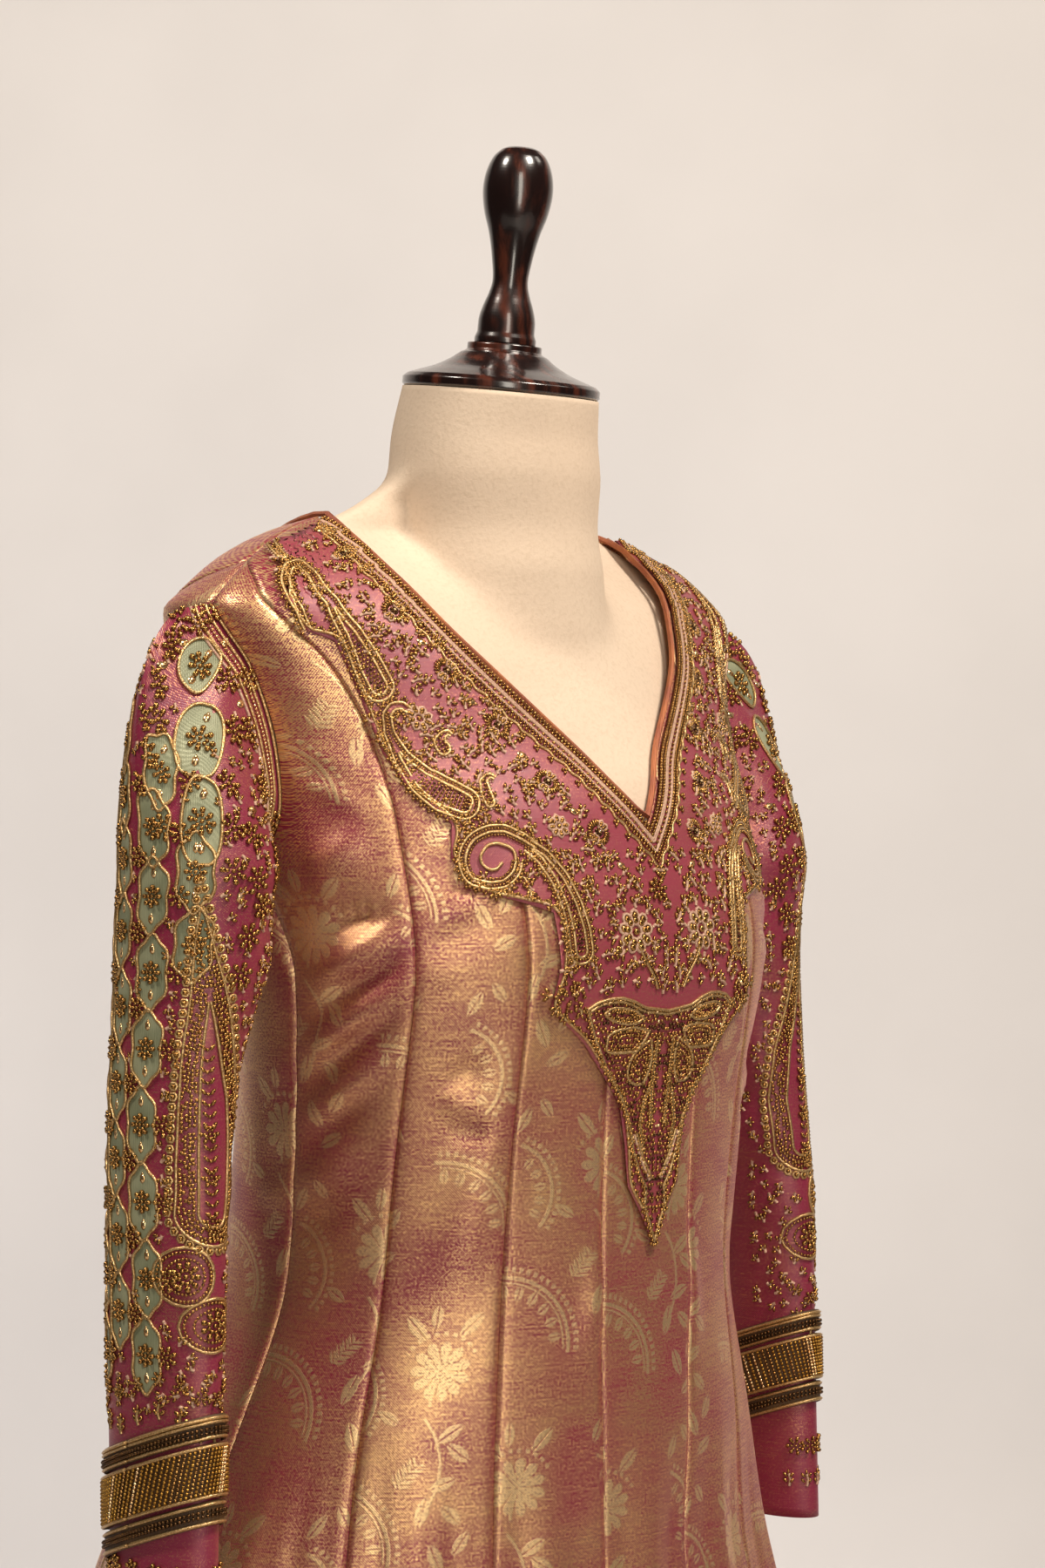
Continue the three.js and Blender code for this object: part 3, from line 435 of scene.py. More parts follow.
# a surface as a grid of (row, column) places, searched for the place seen at a pixel
class SeenSurface:
    def __init__(self, rowValues, colValues, points, facing):
        self.rows, self.cols = rowValues, colValues
        self.seen = project(points)
        self.seen[~facing] = 1e6

    def find(self, px, py):
        gap = (self.seen[..., 0] - px) ** 2 + (self.seen[..., 1] - py) ** 2
        i, j = np.unravel_index(np.argmin(gap), gap.shape)
        i, j = min(max(i, 1), len(self.rows) - 2), min(max(j, 1), len(self.cols) - 2)
        here = self.seen[i, j]
        down, right = self.seen[i + 1, j] - self.seen[i - 1, j], self.seen[i, j + 1] - self.seen[i, j - 1]
        if max(np.abs(down).max(), np.abs(right).max()) > 1e5:
            return self.rows[i], self.cols[j]
        a, b = np.linalg.solve(np.stack([down, right], 1), np.array([px, py]) - here)
        a, b = np.clip([a, b], -0.5, 0.5)
        return (self.rows[i] + a * (self.rows[i + 1] - self.rows[i - 1]),
                self.cols[j] + b * (self.cols[j + 1] - self.cols[j - 1]))


def facesCamera(points, normals):
    view = np.array(target + towardsCamera * cameraPlace["distance"]) / mm - points
    return np.einsum("ijk,ijk->ij", normals, view) > 0


def seenGown():
    zs = np.arange(850, 1450, 3.0)
    shares = np.linspace(-0.52, 0.3, 260)
    z, s = np.meshgrid(zs, shares, indexing="ij")
    points = gownAt(z, s)
    return SeenSurface(zs, shares, points, facesCamera(points, gownNormal(z, s)))


onGown = seenGown()

# Materials


def newMaterial(name, roughness, metallic=0.0, sheen=0.0, sheenTint=(1, 1, 1, 1), coat=0.0):
    material = bpy.data.materials.new(name)
    material.use_nodes = True
    shader = material.node_tree.nodes["Principled BSDF"]
    shader.inputs["Roughness"].default_value = roughness
    shader.inputs["Metallic"].default_value = metallic
    shader.inputs["Sheen Weight"].default_value = sheen
    shader.inputs["Sheen Roughness"].default_value = 0.4
    shader.inputs["Sheen Tint"].default_value = sheenTint
    shader.inputs["Coat Weight"].default_value = coat
    shader.inputs["Coat Roughness"].default_value = 0.12
    return material, material.node_tree, shader


# short way to chain math nodes; a value is a socket or a number
class Chain:
    def __init__(self, tree):
        self.tree = tree

    def node(self, kind, **settings):
        node = self.tree.nodes.new(kind)
        for key, value in settings.items():
            setattr(node, key, value)
        return node

    def put(self, socket, value):
        if isinstance(value, bpy.types.NodeSocket):
            self.tree.links.new(value, socket)
        else:
            socket.default_value = value

    def math(self, operation, a, b=0.0):
        node = self.node("ShaderNodeMath", operation=operation)
        self.put(node.inputs[0], a)
        self.put(node.inputs[1], b)
        return node.outputs[0]

    def times(self, a, b):
        return self.math("MULTIPLY", a, b)

    def plus(self, a, b):
        return self.math("ADD", a, b)

    def minus(self, a, b):
        return self.math("SUBTRACT", a, b)

    def ramp(self, value, low, high, outLow=0.0, outHigh=1.0):
        node = self.node("ShaderNodeMapRange", interpolation_type="SMOOTHSTEP")
        for name, item in (("Value", value), ("From Min", low), ("From Max", high),
                           ("To Min", outLow), ("To Max", outHigh)):
            self.put(node.inputs[name], item)
        return node.outputs["Result"]

    def mix(self, factor, a, b):
        node = self.node("ShaderNodeMix", data_type="RGBA")
        self.put(node.inputs["Factor"], factor)
        self.put(node.inputs["A"], a)
        self.put(node.inputs["B"], b)
        return node.outputs["Result"]

    def noise(self, vector, scale, detail=2.0, roughness=0.5):
        node = self.node("ShaderNodeTexNoise")
        self.put(node.inputs["Vector"], vector)
        node.inputs["Scale"].default_value = scale
        node.inputs["Detail"].default_value = detail
        node.inputs["Roughness"].default_value = roughness
        return node.outputs["Fac"]

    def bump(self, height, strength, distance):
        node = self.node("ShaderNodeBump")
        node.inputs["Strength"].default_value = strength
        node.inputs["Distance"].default_value = distance
        self.put(node.inputs["Height"], height)
        return node.outputs["Normal"]


def newGroup(name, inputs, outputs):
    group = bpy.data.node_groups.new(name, "ShaderNodeTree")
    for label, kind, value in inputs:
        socket = group.interface.new_socket(name=label, in_out="INPUT", socket_type=kind)
        if value is not None:
            socket.default_value = value
    for label, kind in outputs:
        group.interface.new_socket(name=label, in_out="OUTPUT", socket_type=kind)
    return group, Chain(group), group.nodes.new("NodeGroupInput"), group.nodes.new("NodeGroupOutput")


# fine twill grain of silk, from a vector in millimetres
def weaveGroup():
    group, chain, entry, leave = newGroup(
        "silkGrain",
        [("Place", "NodeSocketVector", None), ("Pitch", "NodeSocketFloat", 1.0)],
        [("Height", "NodeSocketFloat"), ("Slub", "NodeSocketFloat")])
    split = chain.node("ShaderNodeSeparateXYZ")
    chain.put(split.inputs[0], entry.outputs["Place"])
    step = chain.math("DIVIDE", math.tau, entry.outputs["Pitch"])
    warp = chain.math("SINE", chain.times(split.outputs["X"], step))
    rows = chain.math("SINE", chain.times(split.outputs["Y"], step))
    chain.put(leave.inputs["Height"], chain.times(warp, rows))
    stretch = chain.node("ShaderNodeVectorMath", operation="MULTIPLY")
    chain.put(stretch.inputs[0], entry.outputs["Place"])
    stretch.inputs[1].default_value = (0.05, 1.1, 0.05)
    chain.put(leave.inputs["Slub"], chain.noise(stretch.outputs[0], 1.0, 3.0))
    return group


silkGrain = weaveGroup()


def grainIn(chain, place, pitch):
    node = chain.node("ShaderNodeGroup", node_tree=silkGrain)
    chain.put(node.inputs["Place"], place)
    node.inputs["Pitch"].default_value = pitch
    return node.outputs["Height"], node.outputs["Slub"]


# the woven figure: scalloped arcs with buds, fan flowers on curved stems and leaves
def figureGroup():
    group, chain, entry, leave = newGroup(
        "wovenFigure", [("Place", "NodeSocketVector", None)], [("Figure", "NodeSocketFloat")])
    width, height = 98.0, 168.0
    split = chain.node("ShaderNodeSeparateXYZ")
    chain.put(split.inputs[0], entry.outputs["Place"])
    u, v = split.outputs["X"], split.outputs["Y"]
    band = chain.math("FLOOR", chain.math("DIVIDE", v, height))
    shifted = chain.plus(u, chain.times(band, width * 0.5))
    x = chain.minus(chain.math("FLOORED_MODULO", shifted, width), width * 0.5)
    y = chain.minus(chain.math("FLOORED_MODULO", v, height), height * 0.5)
    parts = []

    def polar(cx, cy):
        dx, dy = chain.minus(x, cx), chain.minus(y, cy)
        square = chain.plus(chain.times(dx, dx), chain.times(dy, dy))
        return chain.math("SQRT", square), chain.math("ARCTAN2", dy, dx)

    def between(value, low, high, soft=0.6):
        return chain.times(chain.ramp(value, low - soft, low + soft),
                          chain.ramp(value, high + soft, high - soft))

    def arc(cx, cy, radius, first, last, dotted=0, half=0.9):
        r, a = polar(cx, cy)
        line = chain.ramp(chain.math("ABSOLUTE", chain.minus(r, radius)), half + 0.5, half - 0.3)
        mask = chain.times(line, between(a, first, last, 0.03))
        if dotted:
            wave = chain.math("SINE", chain.times(a, dotted))
            mask = chain.times(mask, chain.ramp(wave, -0.3, 0.3))
        parts.append(mask)

    def leaf(cx, cy, length, wide, turn):
        dx, dy = chain.minus(x, cx), chain.minus(y, cy)
        c, s = math.cos(turn), math.sin(turn)
        along = chain.plus(chain.times(dx, c), chain.times(dy, s))
        across = chain.minus(chain.times(dy, c), chain.times(dx, s))
        a = chain.math("DIVIDE", along, length)
        b = chain.math("DIVIDE", across, wide)
        inside = chain.plus(chain.times(a, a), chain.math("ABSOLUTE", b))
        vein = chain.ramp(chain.math("ABSOLUTE", across), 0.25, 0.7)
        parts.append(chain.times(chain.ramp(inside, 1.08, 0.85), vein))

    # scalloped quarter arcs: a line, round dots outside it, buds inside it and a leaf at its end
    arc(-40, -50, 36, -0.15, 1.72, half=0.9)
    arc(-40, -50, 40.5, -0.1, 1.66, dotted=62, half=1.25)
    arc(-40, -50, 33.2, -0.1, 1.66, half=0.35)
    arc(-44, 30, 28, -0.7, 1.25, half=0.9)
    arc(-44, 30, 32, -0.65, 1.2, dotted=50, half=1.2)
    for step in range(6):
        a = 0.12 + 0.29 * step
        leaf(-40 + 28.4 * math.cos(a), -50 + 28.4 * math.sin(a), 4.6, 2.5, a)
    for step in range(5):
        a = -0.5 + 0.34 * step
        leaf(-44 + 21.5 * math.cos(a), 30 + 21.5 * math.sin(a), 4.2, 2.3, a)
    # fan flower on a curved stem, its petals in two tiers, with stamens
    r, a = polar(16, 44)
    for count, low, high, thin in ((5.5, 6.0, 15.5, 0.3), (4.0, 2.6, 9.0, 0.25)):
        petals = chain.math("ABSOLUTE", chain.math("SINE", chain.times(a, count)))
        reach = chain.plus(high - 4.5, chain.times(petals, 4.5))
        inside = chain.times(chain.ramp(chain.minus(r, reach), 0.5, -0.5),
                            chain.ramp(r, low - 0.4, low + 0.4))
        parts.append(chain.times(inside, chain.ramp(petals, thin - 0.12, thin + 0.1)))
    arc(16, 44, 19.5, 0.5, 2.7, dotted=26, half=1.0)
    arc(16, 44, 2.0, -3.2, 3.2, half=1.2)
    arc(46, 26, 34, 2.75, 3.14, half=0.7)
    arc(-18, -6, 38, -0.75, 0.75, half=0.7)
    # leaves along the stems: x, y, length, half width and turn
    for place in (
            (24, 12, 8.5, 3.6, 0.6), (29, 2, 8.5, 3.6, 2.5), (22, -14, 8.0, 3.4, 0.4), (12, -28, 9, 3.6, 1.3),
            (27, -30, 8, 3.4, 2.4), (33, -45, 8, 3.4, 1.0), (20, -52, 9, 3.8, 2.0), (30, -66, 8, 3.4, 0.5),
            (2, 66, 9, 3.6, 2.3), (30, 68, 9, 3.6, 0.8), (12, 72, 7, 3.0, 1.5), (-8, 20, 7, 3.0, 2.6),
            (-34, 70, 8, 3.2, 1.1), (-22, 76, 7, 3.0, 2.2)):
        leaf(*place)
    # leaf sprig where an arc ends
    for k in range(4):
        leaf(-2 + 2.6 * k, -12 + 3.2 * k, 4.8 - 0.4 * k, 1.9, 1.9)
        leaf(2 + 2.6 * k, -14 + 3.0 * k, 4.8 - 0.4 * k, 1.9, 0.0)
    total = parts[0]
    for part in parts[1:]:
        total = chain.math("MAXIMUM", total, part)
    chain.put(leave.inputs["Figure"], total)
    return group


wovenFigure = figureGroup()


# one unit of the UV maps, in millimetres
uvUnit = 100.0


def uvInMillimetres(chain):
    uv = chain.node("ShaderNodeUVMap", uv_map="UVMap")
    grow = chain.node("ShaderNodeVectorMath", operation="SCALE")
    chain.put(grow.inputs[0], uv.outputs["UV"])
    grow.inputs["Scale"].default_value = uvUnit
    return grow.outputs[0]


# shot silk: metal threads over wine red ones, so that it is copper gold where lit and wine red elsewhere
threads = {"copper": srgb("E8BC86"), "wine": srgb("7E1A38"), "figure": srgb("F6DCA4")}


def shotSilk(name, figured, metalShare, copper=None, wine=None):
    material, tree, shader = newMaterial(name, 0.4, 0.5, 0.18, srgb("C2466A"))
    chain = Chain(tree)
    place = uvInMillimetres(chain)
    height, slub = grainIn(chain, place, 1.25)
    fine = chain.noise(place, 0.9, 2.0)
    cloudy = chain.noise(place, 0.018, 2.0)
    share = chain.plus(metalShare, chain.times(height, 0.2))
    share = chain.plus(share, chain.times(chain.minus(fine, 0.5), 1.1))
    share = chain.plus(share, chain.times(chain.minus(cloudy, 0.5), 0.5))
    share = chain.plus(share, chain.times(chain.minus(slub, 0.5), 0.45))
    share = chain.ramp(share, 0.38, 0.62)
    metal, colour = share, chain.mix(share, wine or threads["wine"], copper or threads["copper"])
    worn = 0.0
    if figured:
        figure = chain.node("ShaderNodeGroup", node_tree=wovenFigure)
        chain.put(figure.inputs["Place"], place)
        worn = chain.times(figure.outputs["Figure"], chain.ramp(fine, 0.3, 0.5, 0.35, 1.0))
        colour = chain.mix(chain.times(worn, 0.55), colour, threads["figure"])
        metal = chain.math("MAXIMUM", share, chain.times(worn, 0.8))
    chain.put(shader.inputs["Base Color"], colour)
    chain.put(shader.inputs["Metallic"], chain.times(metal, 0.95))
    chain.put(shader.inputs["Roughness"], chain.ramp(fine, 0.2, 0.8, 0.33, 0.45))
    relief = chain.plus(chain.times(height, 0.12),
                        chain.plus(chain.times(slub, 0.5), chain.times(worn, 0.3)))
    chain.put(shader.inputs["Normal"], chain.bump(relief, 0.4, 0.0008))
    return material


def plainCloth(name, base, other, roughness, metallic):
    material, tree, shader = newMaterial(name, roughness, metallic, 0.3, base)
    chain = Chain(tree)
    coords = chain.node("ShaderNodeTexCoord")
    grow = chain.node("ShaderNodeVectorMath", operation="SCALE")
    chain.put(grow.inputs[0], coords.outputs["Object"])
    grow.inputs["Scale"].default_value = 1 / mm
    place = grow.outputs[0]
    height, slub = grainIn(chain, place, 1.2)
    tone = chain.noise(place, 0.05, 3.0)
    chain.put(shader.inputs["Base Color"], chain.mix(chain.ramp(tone, 0.35, 0.65), base, other))
    relief = chain.plus(chain.times(height, 0.5), slub)
    chain.put(shader.inputs["Normal"], chain.bump(relief, 0.4, 0.0006))
    return material


def metalThread(name, base, other, roughness=0.32, metallic=0.9, scale=900.0, bump=0.3):
    material, tree, shader = newMaterial(name, roughness, metallic)
    chain = Chain(tree)
    coords = chain.node("ShaderNodeTexCoord")
    tone = chain.noise(coords.outputs["Object"], scale, 2.0)
    chain.put(shader.inputs["Base Color"], chain.mix(chain.ramp(tone, 0.35, 0.65), base, other))
    chain.put(shader.inputs["Normal"], chain.bump(tone, bump, 0.0004))
    return material


def suedeMaterial():
    material, tree, shader = newMaterial("creamSuede", 0.93, 0.0, 0.25, srgb("E6D0B2"))
    chain = Chain(tree)
    coords = chain.node("ShaderNodeTexCoord")
    pebble = chain.noise(coords.outputs["Object"], 420.0, 3.0, 0.6)
    cloud = chain.noise(coords.outputs["Object"], 9.0, 3.0)
    mixed = chain.mix(chain.ramp(cloud, 0.3, 0.7), srgb("CFBAA4"), srgb("D6C2AC"))
    chain.put(shader.inputs["Base Color"],
              chain.mix(chain.times(chain.ramp(pebble, 0.45, 0.7), 0.22), mixed, srgb("B09A80")))
    chain.put(shader.inputs["Normal"], chain.bump(pebble, 0.35, 0.0008))
    return material


def walnutMaterial():
    material, tree, shader = newMaterial("darkWalnut", 0.24, 0.0, coat=0.7)
    chain = Chain(tree)
    coords = chain.node("ShaderNodeTexCoord")
    stretch = chain.node("ShaderNodeVectorMath", operation="MULTIPLY")
    chain.put(stretch.inputs[0], coords.outputs["Object"])
    stretch.inputs[1].default_value = (90, 90, 14)
    warped = chain.noise(stretch.outputs[0], 1.0, 6.0, 0.62)
    rings = chain.node("ShaderNodeTexWave", wave_type="BANDS", bands_direction="X")
    chain.put(rings.inputs["Vector"], coords.outputs["Object"])
    rings.inputs["Scale"].default_value = 42
    rings.inputs["Distortion"].default_value = 6
    rings.inputs["Detail"].default_value = 3
    grain = chain.times(chain.ramp(warped, 0.42, 0.72), rings.outputs["Fac"])
    chain.put(shader.inputs["Base Color"], chain.mix(grain, srgb("1A0D0B"), srgb("5A2A1A")))
    chain.put(shader.inputs["Roughness"], chain.ramp(warped, 0.3, 0.8, 0.2, 0.34))
    return material


silkBrocade = shotSilk("brocadeSilk", True, 0.48)
yokeSilk = shotSilk("yokeSilk", False, 0.3, srgb("C88A6E"), srgb("8E3A48"))
sleeveSilk = shotSilk("sleeveSilk", False, 0.32, srgb("C48A6C"), srgb("822540"))
greenSilk = plainCloth("greenSilk", srgb("7E8266"), srgb("989A7C"), 0.5, 0.15)
antiqueBead = metalThread("antiqueBead", srgb("80582E"), srgb("BC9050"), 0.24, 0.9)
goldCord = metalThread("goldCord", srgb("DCBC88"), srgb("A87E48"), 0.36, 0.75, 1400.0, 0.6)
paleGold = metalThread("paleGold", srgb("F0D2A0"), srgb("D8A870"), 0.24, 0.9)
whiteThread = metalThread("whiteThread", srgb("CFAE90"), srgb("A87C6C"), 0.6, 0.1, 1200.0)
brassBead = metalThread("brassBead", srgb("B88A3C"), srgb("8E6426"), 0.3, 0.85)
darkBead = metalThread("darkBead", srgb("46301C"), srgb("6A4826"), 0.22, 0.85)
copperPiping = plainCloth("copperPiping", srgb("A8643C"), srgb("8A4A34"), 0.45, 0.4)
creamSuede = suedeMaterial()
darkWalnut = walnutMaterial()
print("scene: materials ready")

# Body panels

gridFineness = 3
rowsBelow = np.concatenate([np.linspace(hemZ, 850, 34)[:-1], np.linspace(850, panelSplitZ, 64)])
risesAbove = 1 - (1 - np.linspace(0, 1, 49)[1:]) ** 1.25


def fluteDepth(z):
    return 27 * np.clip((1000 - z) / (1000 - hemZ), 0, 1) ** 1.35


# soft troughs and ridges: ends as seen in the photo, depth and half width in millimetres
creases = table(
    "name start end depth wide",
    ("bust drag 1", (545, 1000), (360, 1075), -5.0, 8),
    ("bust drag 2", (550, 1030), (345, 1130), 4.5, 9),
    ("bust drag 3", (540, 1062), (330, 1180), -6.0, 9),
    ("bust drag 4", (520, 1096), (318, 1225), 5.0, 9),
    ("bust drag 5", (490, 1140), (308, 1275), -5.5, 10),
    ("bust drag 6", (470, 1190), (300, 1320), 3.6, 9),
    ("armhole fold", (352, 1000), (420, 960), 3.0, 8),
    ("sleeve edge pull 1", (285, 1352), (420, 1262), -4.0, 8),
    ("sleeve edge pull 2", (285, 1376), (410, 1330), 3.4, 7),
    ("sleeve edge pull 3", (290, 1400), (390, 1402), -3.0, 7),
    ("seam pull 1", (436, 900), (505, 892), 1.8, 4),
    ("seam pull 2", (440, 925), (520, 930), 1.6, 4),
    ("seam pull 3", (446, 950), (516, 964), 1.8, 4),
    ("seam pull 4", (455, 980), (530, 1000), -2.2, 4),
    ("seam pull 5", (296, 690), (345, 696), 1.6, 3.5),
    ("seam pull 6", (300, 716), (352, 728), 1.8, 3.5),
    ("seam pull 7", (312, 745), (366, 756), 1.6, 3.5),
    ("seam pull 8", (330, 790), (392, 800), 1.4, 3.5),
    ("bust pull 1", (400, 830), (440, 838), 1.4, 4),
    ("bust pull 2", (350, 866), (430, 880), 1.8, 5),
    ("bust pull 3", (345, 900), (425, 925), 2.0, 5),
    ("shoulder pleat", (256, 664), (268, 742), 2.0, 4),
    ("waist tuck 1", (512, 1240), (556, 1222), -2.4, 4),
    ("waist tuck 2", (520, 1296), (560, 1300), -2.6, 4),
    ("waist tuck 3", (508, 1262), (552, 1276), 2.0, 5),
    ("waist roll", (596, 1190), (520, 1480), 2.4, 14),
    ("skirt ridge 1", (690, 1440), (676, 1560), 2.5, 8))


def creasePlaces(crease):
    line = []
    for t in np.linspace(0, 1, 6):
        z, share = onGown.find(lerp(crease["start"][0], crease["end"][0], t),
                               lerp(crease["start"][1], crease["end"][1], t))
        line.append((share * np.interp(z, tableZ, halfLength), z))
    return np.array(line)


for crease in creases:
    crease["line"] = creasePlaces(crease)


def creaseRelief(z, share):
    along = share * np.interp(z, tableZ, halfLength)
    total = np.zeros_like(z)
    for crease in creases:
        for mirror, weight in ((1, 1.0), (-1, 0.8)):
            line = crease["line"] * [mirror, 1]
            best, where = np.full(z.shape, 1e9), np.zeros_like(z)
            for k in range(len(line) - 1):
                a, b = line[k], line[k + 1]
                d = b - a
                t = np.clip(((along - a[0]) * d[0] + (z - a[1]) * d[1]) / (d @ d), 0, 1)
                gap = np.hypot(along - a[0] - t * d[0], z - a[1] - t * d[1])
                closer = gap < best
                best = np.where(closer, gap, best)
                where = np.where(closer, (k + t) / (len(line) - 1), where)
            taper = 0.06 + 0.94 * np.sin(np.pi * np.clip(where * 0.94 + 0.03, 0, 1)) ** 0.7
            total += weight * 1.35 * crease["depth"] * taper * np.exp(-(best / crease["wide"]) ** 2)
    # over the chest the form is close behind the cloth
    return np.where(z > 1235, np.maximum(total, -1.5), total)


def buildHalf(sign):
    widths, late, tops = [], [], []
    for stretch in topStretches:
        cells = stretch["cells"] * gridFineness
        for cell in range(0 if not widths else 1, cells + 1):
            t = cell / cells
            widths.append(lerp(*stretch["span"], t))
            late.append(lerp(*stretch["late"], t))
            tops.append(topPlace(stretch["kind"], lerp(*stretch["at"], t)))
    widths = np.array(widths)
    rows, cols = len(rowsBelow) + len(risesAbove), len(widths)
    z, share = np.empty((rows, cols)), np.empty((rows, cols))
    for c in range(cols):
        below = seamShare(rowsBelow, widths[c])
        z[:len(rowsBelow), c], share[:len(rowsBelow), c] = rowsBelow, below
        z[len(rowsBelow):, c] = lerp(panelSplitZ, tops[c][0], risesAbove)
        share[len(rowsBelow):, c] = lerp(below[-1], tops[c][1], risesAbove ** late[c])
    normals = gownNormal(z, share)
    for c in range(cols):
        if tops[c][2]:
            slope = np.diff(column(gownSections, "width", [tops[c][0] - 1, tops[c][0] + 1]))[0] / 2
            ridge = np.array([1, 0, min(-slope, 4)])
            normals[-1, c] = ridge / np.linalg.norm(ridge)
    wave = np.cos(2 * np.pi * widths)[None, :]
    points = gownAt(z, share) + normals * (fluteDepth(z) * wave)[..., None]
    across = np.gradient(points, axis=1)
    across[:, 0], across[:, -1] = [1, 0, 0], [-1, 0, 0]
    up = np.gradient(points, axis=0)
    meshed = np.cross(across, up)
    meshed /= np.linalg.norm(meshed, axis=-1, keepdims=True)
    blend = (1 - smoothStep(panelSplitZ - 30, panelSplitZ + 30, z))[..., None]
    normals = normals * (1 - blend) + meshed * blend
    normals /= np.linalg.norm(normals, axis=-1, keepdims=True)
    # pulled and rolled cloth, quiet under the yoke and at the edges
    toSeam = np.min([np.abs(widths - mark) for mark in (0.5, 1.5, 2.5, 3.5, 4.5, 5.5, 6.5)], axis=0)
    seamDip = -0.8 * np.exp(-(toSeam[None, :] * np.maximum(60, halfLength[0] / 7) / 6) ** 2)
    sideSeamGap = np.min([np.abs(widths - mark) for mark in (2.5, 3.5, 4.5)], axis=0)[None, :] * 60
    relief = creaseRelief(z, share * sign) * (1 - 0.9 * np.exp(-(sideSeamGap / 18) ** 2)) + seamDip
    sway = np.cos(4 * np.pi * widths[None, :] + 0.8 * np.sin(z / 90)) ** 3
    relief += 1.6 * (1 - smoothStep(860, 980, z)) * sway
    topHeights = np.array([top[0] for top in tops])[None, :]
    relief *= smoothStep(0, 14, topHeights - z)
    points = points + normals * relief[..., None]
    points[..., 0] *= sign
    normals[..., 0] *= sign
    return widths, z, share, points, normals


bodyPanels = table(
    "name span",
    ("front_inner", (0.5, 1.5)),
    ("front_outer", (1.5, 2.5)),
    ("side_front", (2.5, 3.5)),
    ("side_back", (3.5, 4.5)),
    ("back_outer", (4.5, 5.5)),
    ("back_inner", (5.5, 6.5)))


# moves seam edges in by half a seam gap
def trimmed(points):
    p = points.copy()
    for a, b in ((0, 1), (-1, -2)):
        step = points[:, b] - points[:, a]
        p[:, a] += step * (seamGap / 2) / np.linalg.norm(step, axis=-1, keepdims=True)
    return p


# each panel is cut with its own part of the figure, straight down its middle
def panelUv(z, share, middle, order):
    across = (share - middle) * np.interp(z, tableZ, halfLength)
    return np.stack([across + 38 + 61 * order, z * 1.03 + 53 * order], -1) / 100


clothPieces = []


def addPanel(name, node, z, share, points, normals, middleCol, order):
    middle = share[:, middleCol:middleCol + 1]
    uv = panelUv(z, share, middle, order)
    piece = wallMesh(name, trimmed(points), normals, cloth, silkBrocade, uv)
    clothPieces.append((settle(piece, node), points))


halves = {"left": buildHalf(1), "right": buildHalf(-1)}
for side, (widths, z, share, points, normals) in halves.items():
    sign = 1 if side == "left" else -1
    for order, panel in enumerate(bodyPanels):
        low, high = panel["span"]
        cols = np.nonzero((widths > low - 1e-6) & (widths < high + 1e-6))[0]
        cols = cols if side == "left" else cols[::-1]
        node = f"{panel['name']}_panel_{side}"
        addPanel(node + "_cloth", node, z[:, cols], share[:, cols] * sign, points[:, cols], normals[:, cols],
                 len(cols) // 2, order * 2 + (side == "left"))

for name, low, high, first, second in (("front_centre", 0, 0.5, "right", "left"),
                                       ("back_centre", 6.5, 7, "left", "right")):
    grids = []
    for side in (first, second):
        widths, z, share, points, normals = halves[side]
        cols = np.nonzero((widths > low - 1e-6) & (widths < high + 1e-6))[0]
        sign = 1 if side == "left" else -1
        signed = share * sign if name == "front_centre" else np.where(sign > 0, share, 2 - share)
        if side == first and name == "front_centre" or side == second and name == "back_centre":
            cols = cols[::-1]
        cols = cols if side == first else cols[1:]
        grids.append((z[:, cols], signed[:, cols], points[:, cols], normals[:, cols]))
    z, share, points, normals = (np.concatenate(parts, axis=1) for parts in zip(*grids))
    addPanel(f"{name}_panel_cloth", f"{name}_panel", z, share, points, normals, z.shape[1] // 2, 13)
print("scene: body panels made")

# Sleeves

sleeveSections = table(
    "z x y across along",
    (865, -232, 3, 16.5, 37),
    (950, -230, 5, 18, 38),
    (1050, -227, 7, 21, 39),
    (1150, -219, 11, 27, 38),
    (1210, -208, 11, 35, 42),
    (1250, -206, 7, 37, 44))
sleeveRound = 96
sleeveCapRows = 26
sleeveSetback = 2.2
capPush = {"low": 0.6, "top": 1.3}
armholeMiddle = {"behind": 18, "z": 1324}


# ring of the hanging sleeve: outermost first, then front, inside and back
def sleeveRing(z, turns):
    z, turns = np.broadcast_arrays(np.asarray(z, float), np.asarray(turns, float))
    x, y, across, along = (column(sleeveSections, name, z) for name in ("x", "y", "across", "along"))
    angle = 2 * np.pi * turns
    return np.stack([x - across * np.cos(angle), y - along * np.sin(angle), z], -1)


def capCurves():
    starts, normals = [], []
    for i in range(sleeveRound):
        behind, z = armholePlace(2 * i / sleeveRound)
        keep = 1 - sleeveSetback / math.hypot(behind - armholeMiddle["behind"], z - armholeMiddle["z"])
        z = lerp(armholeMiddle["z"], z, keep)
        share = float(atSide(z, lerp(armholeMiddle["behind"], behind, keep)))
        starts.append(gownAt(z, share) * [-1, 1, 1])
        normals.append(gownNormal(z, share) * [-1, 1, 1])
    return np.array(starts), np.array(normals)


def sleeveGrid():
    starts, normals = capCurves()
    turns = np.arange(sleeveRound) / sleeveRound
    ends = sleeveRing(1250, turns)
    span = np.linalg.norm(ends - starts, axis=1)[:, None]
    rise = np.clip((starts[:, 2:] - 1250) / (shoulderTipZ - 1250), 0, None)
    leave = normals * span * lerp(capPush["low"], capPush["top"], rise)
    arrive = np.array([0, 0, -1.0]) * span
    t = (np.arange(sleeveCapRows) / sleeveCapRows)[:, None, None]
    cap = (starts * (1 + 2 * t) * (1 - t) ** 2 + leave * t * (1 - t) ** 2
           + ends * t * t * (3 - 2 * t) + arrive * t * t * (t - 1))
    tube = sleeveRing(np.linspace(1250, 865, 72)[:, None], turns[None, :])
    return np.concatenate([cap, tube])[::-1]


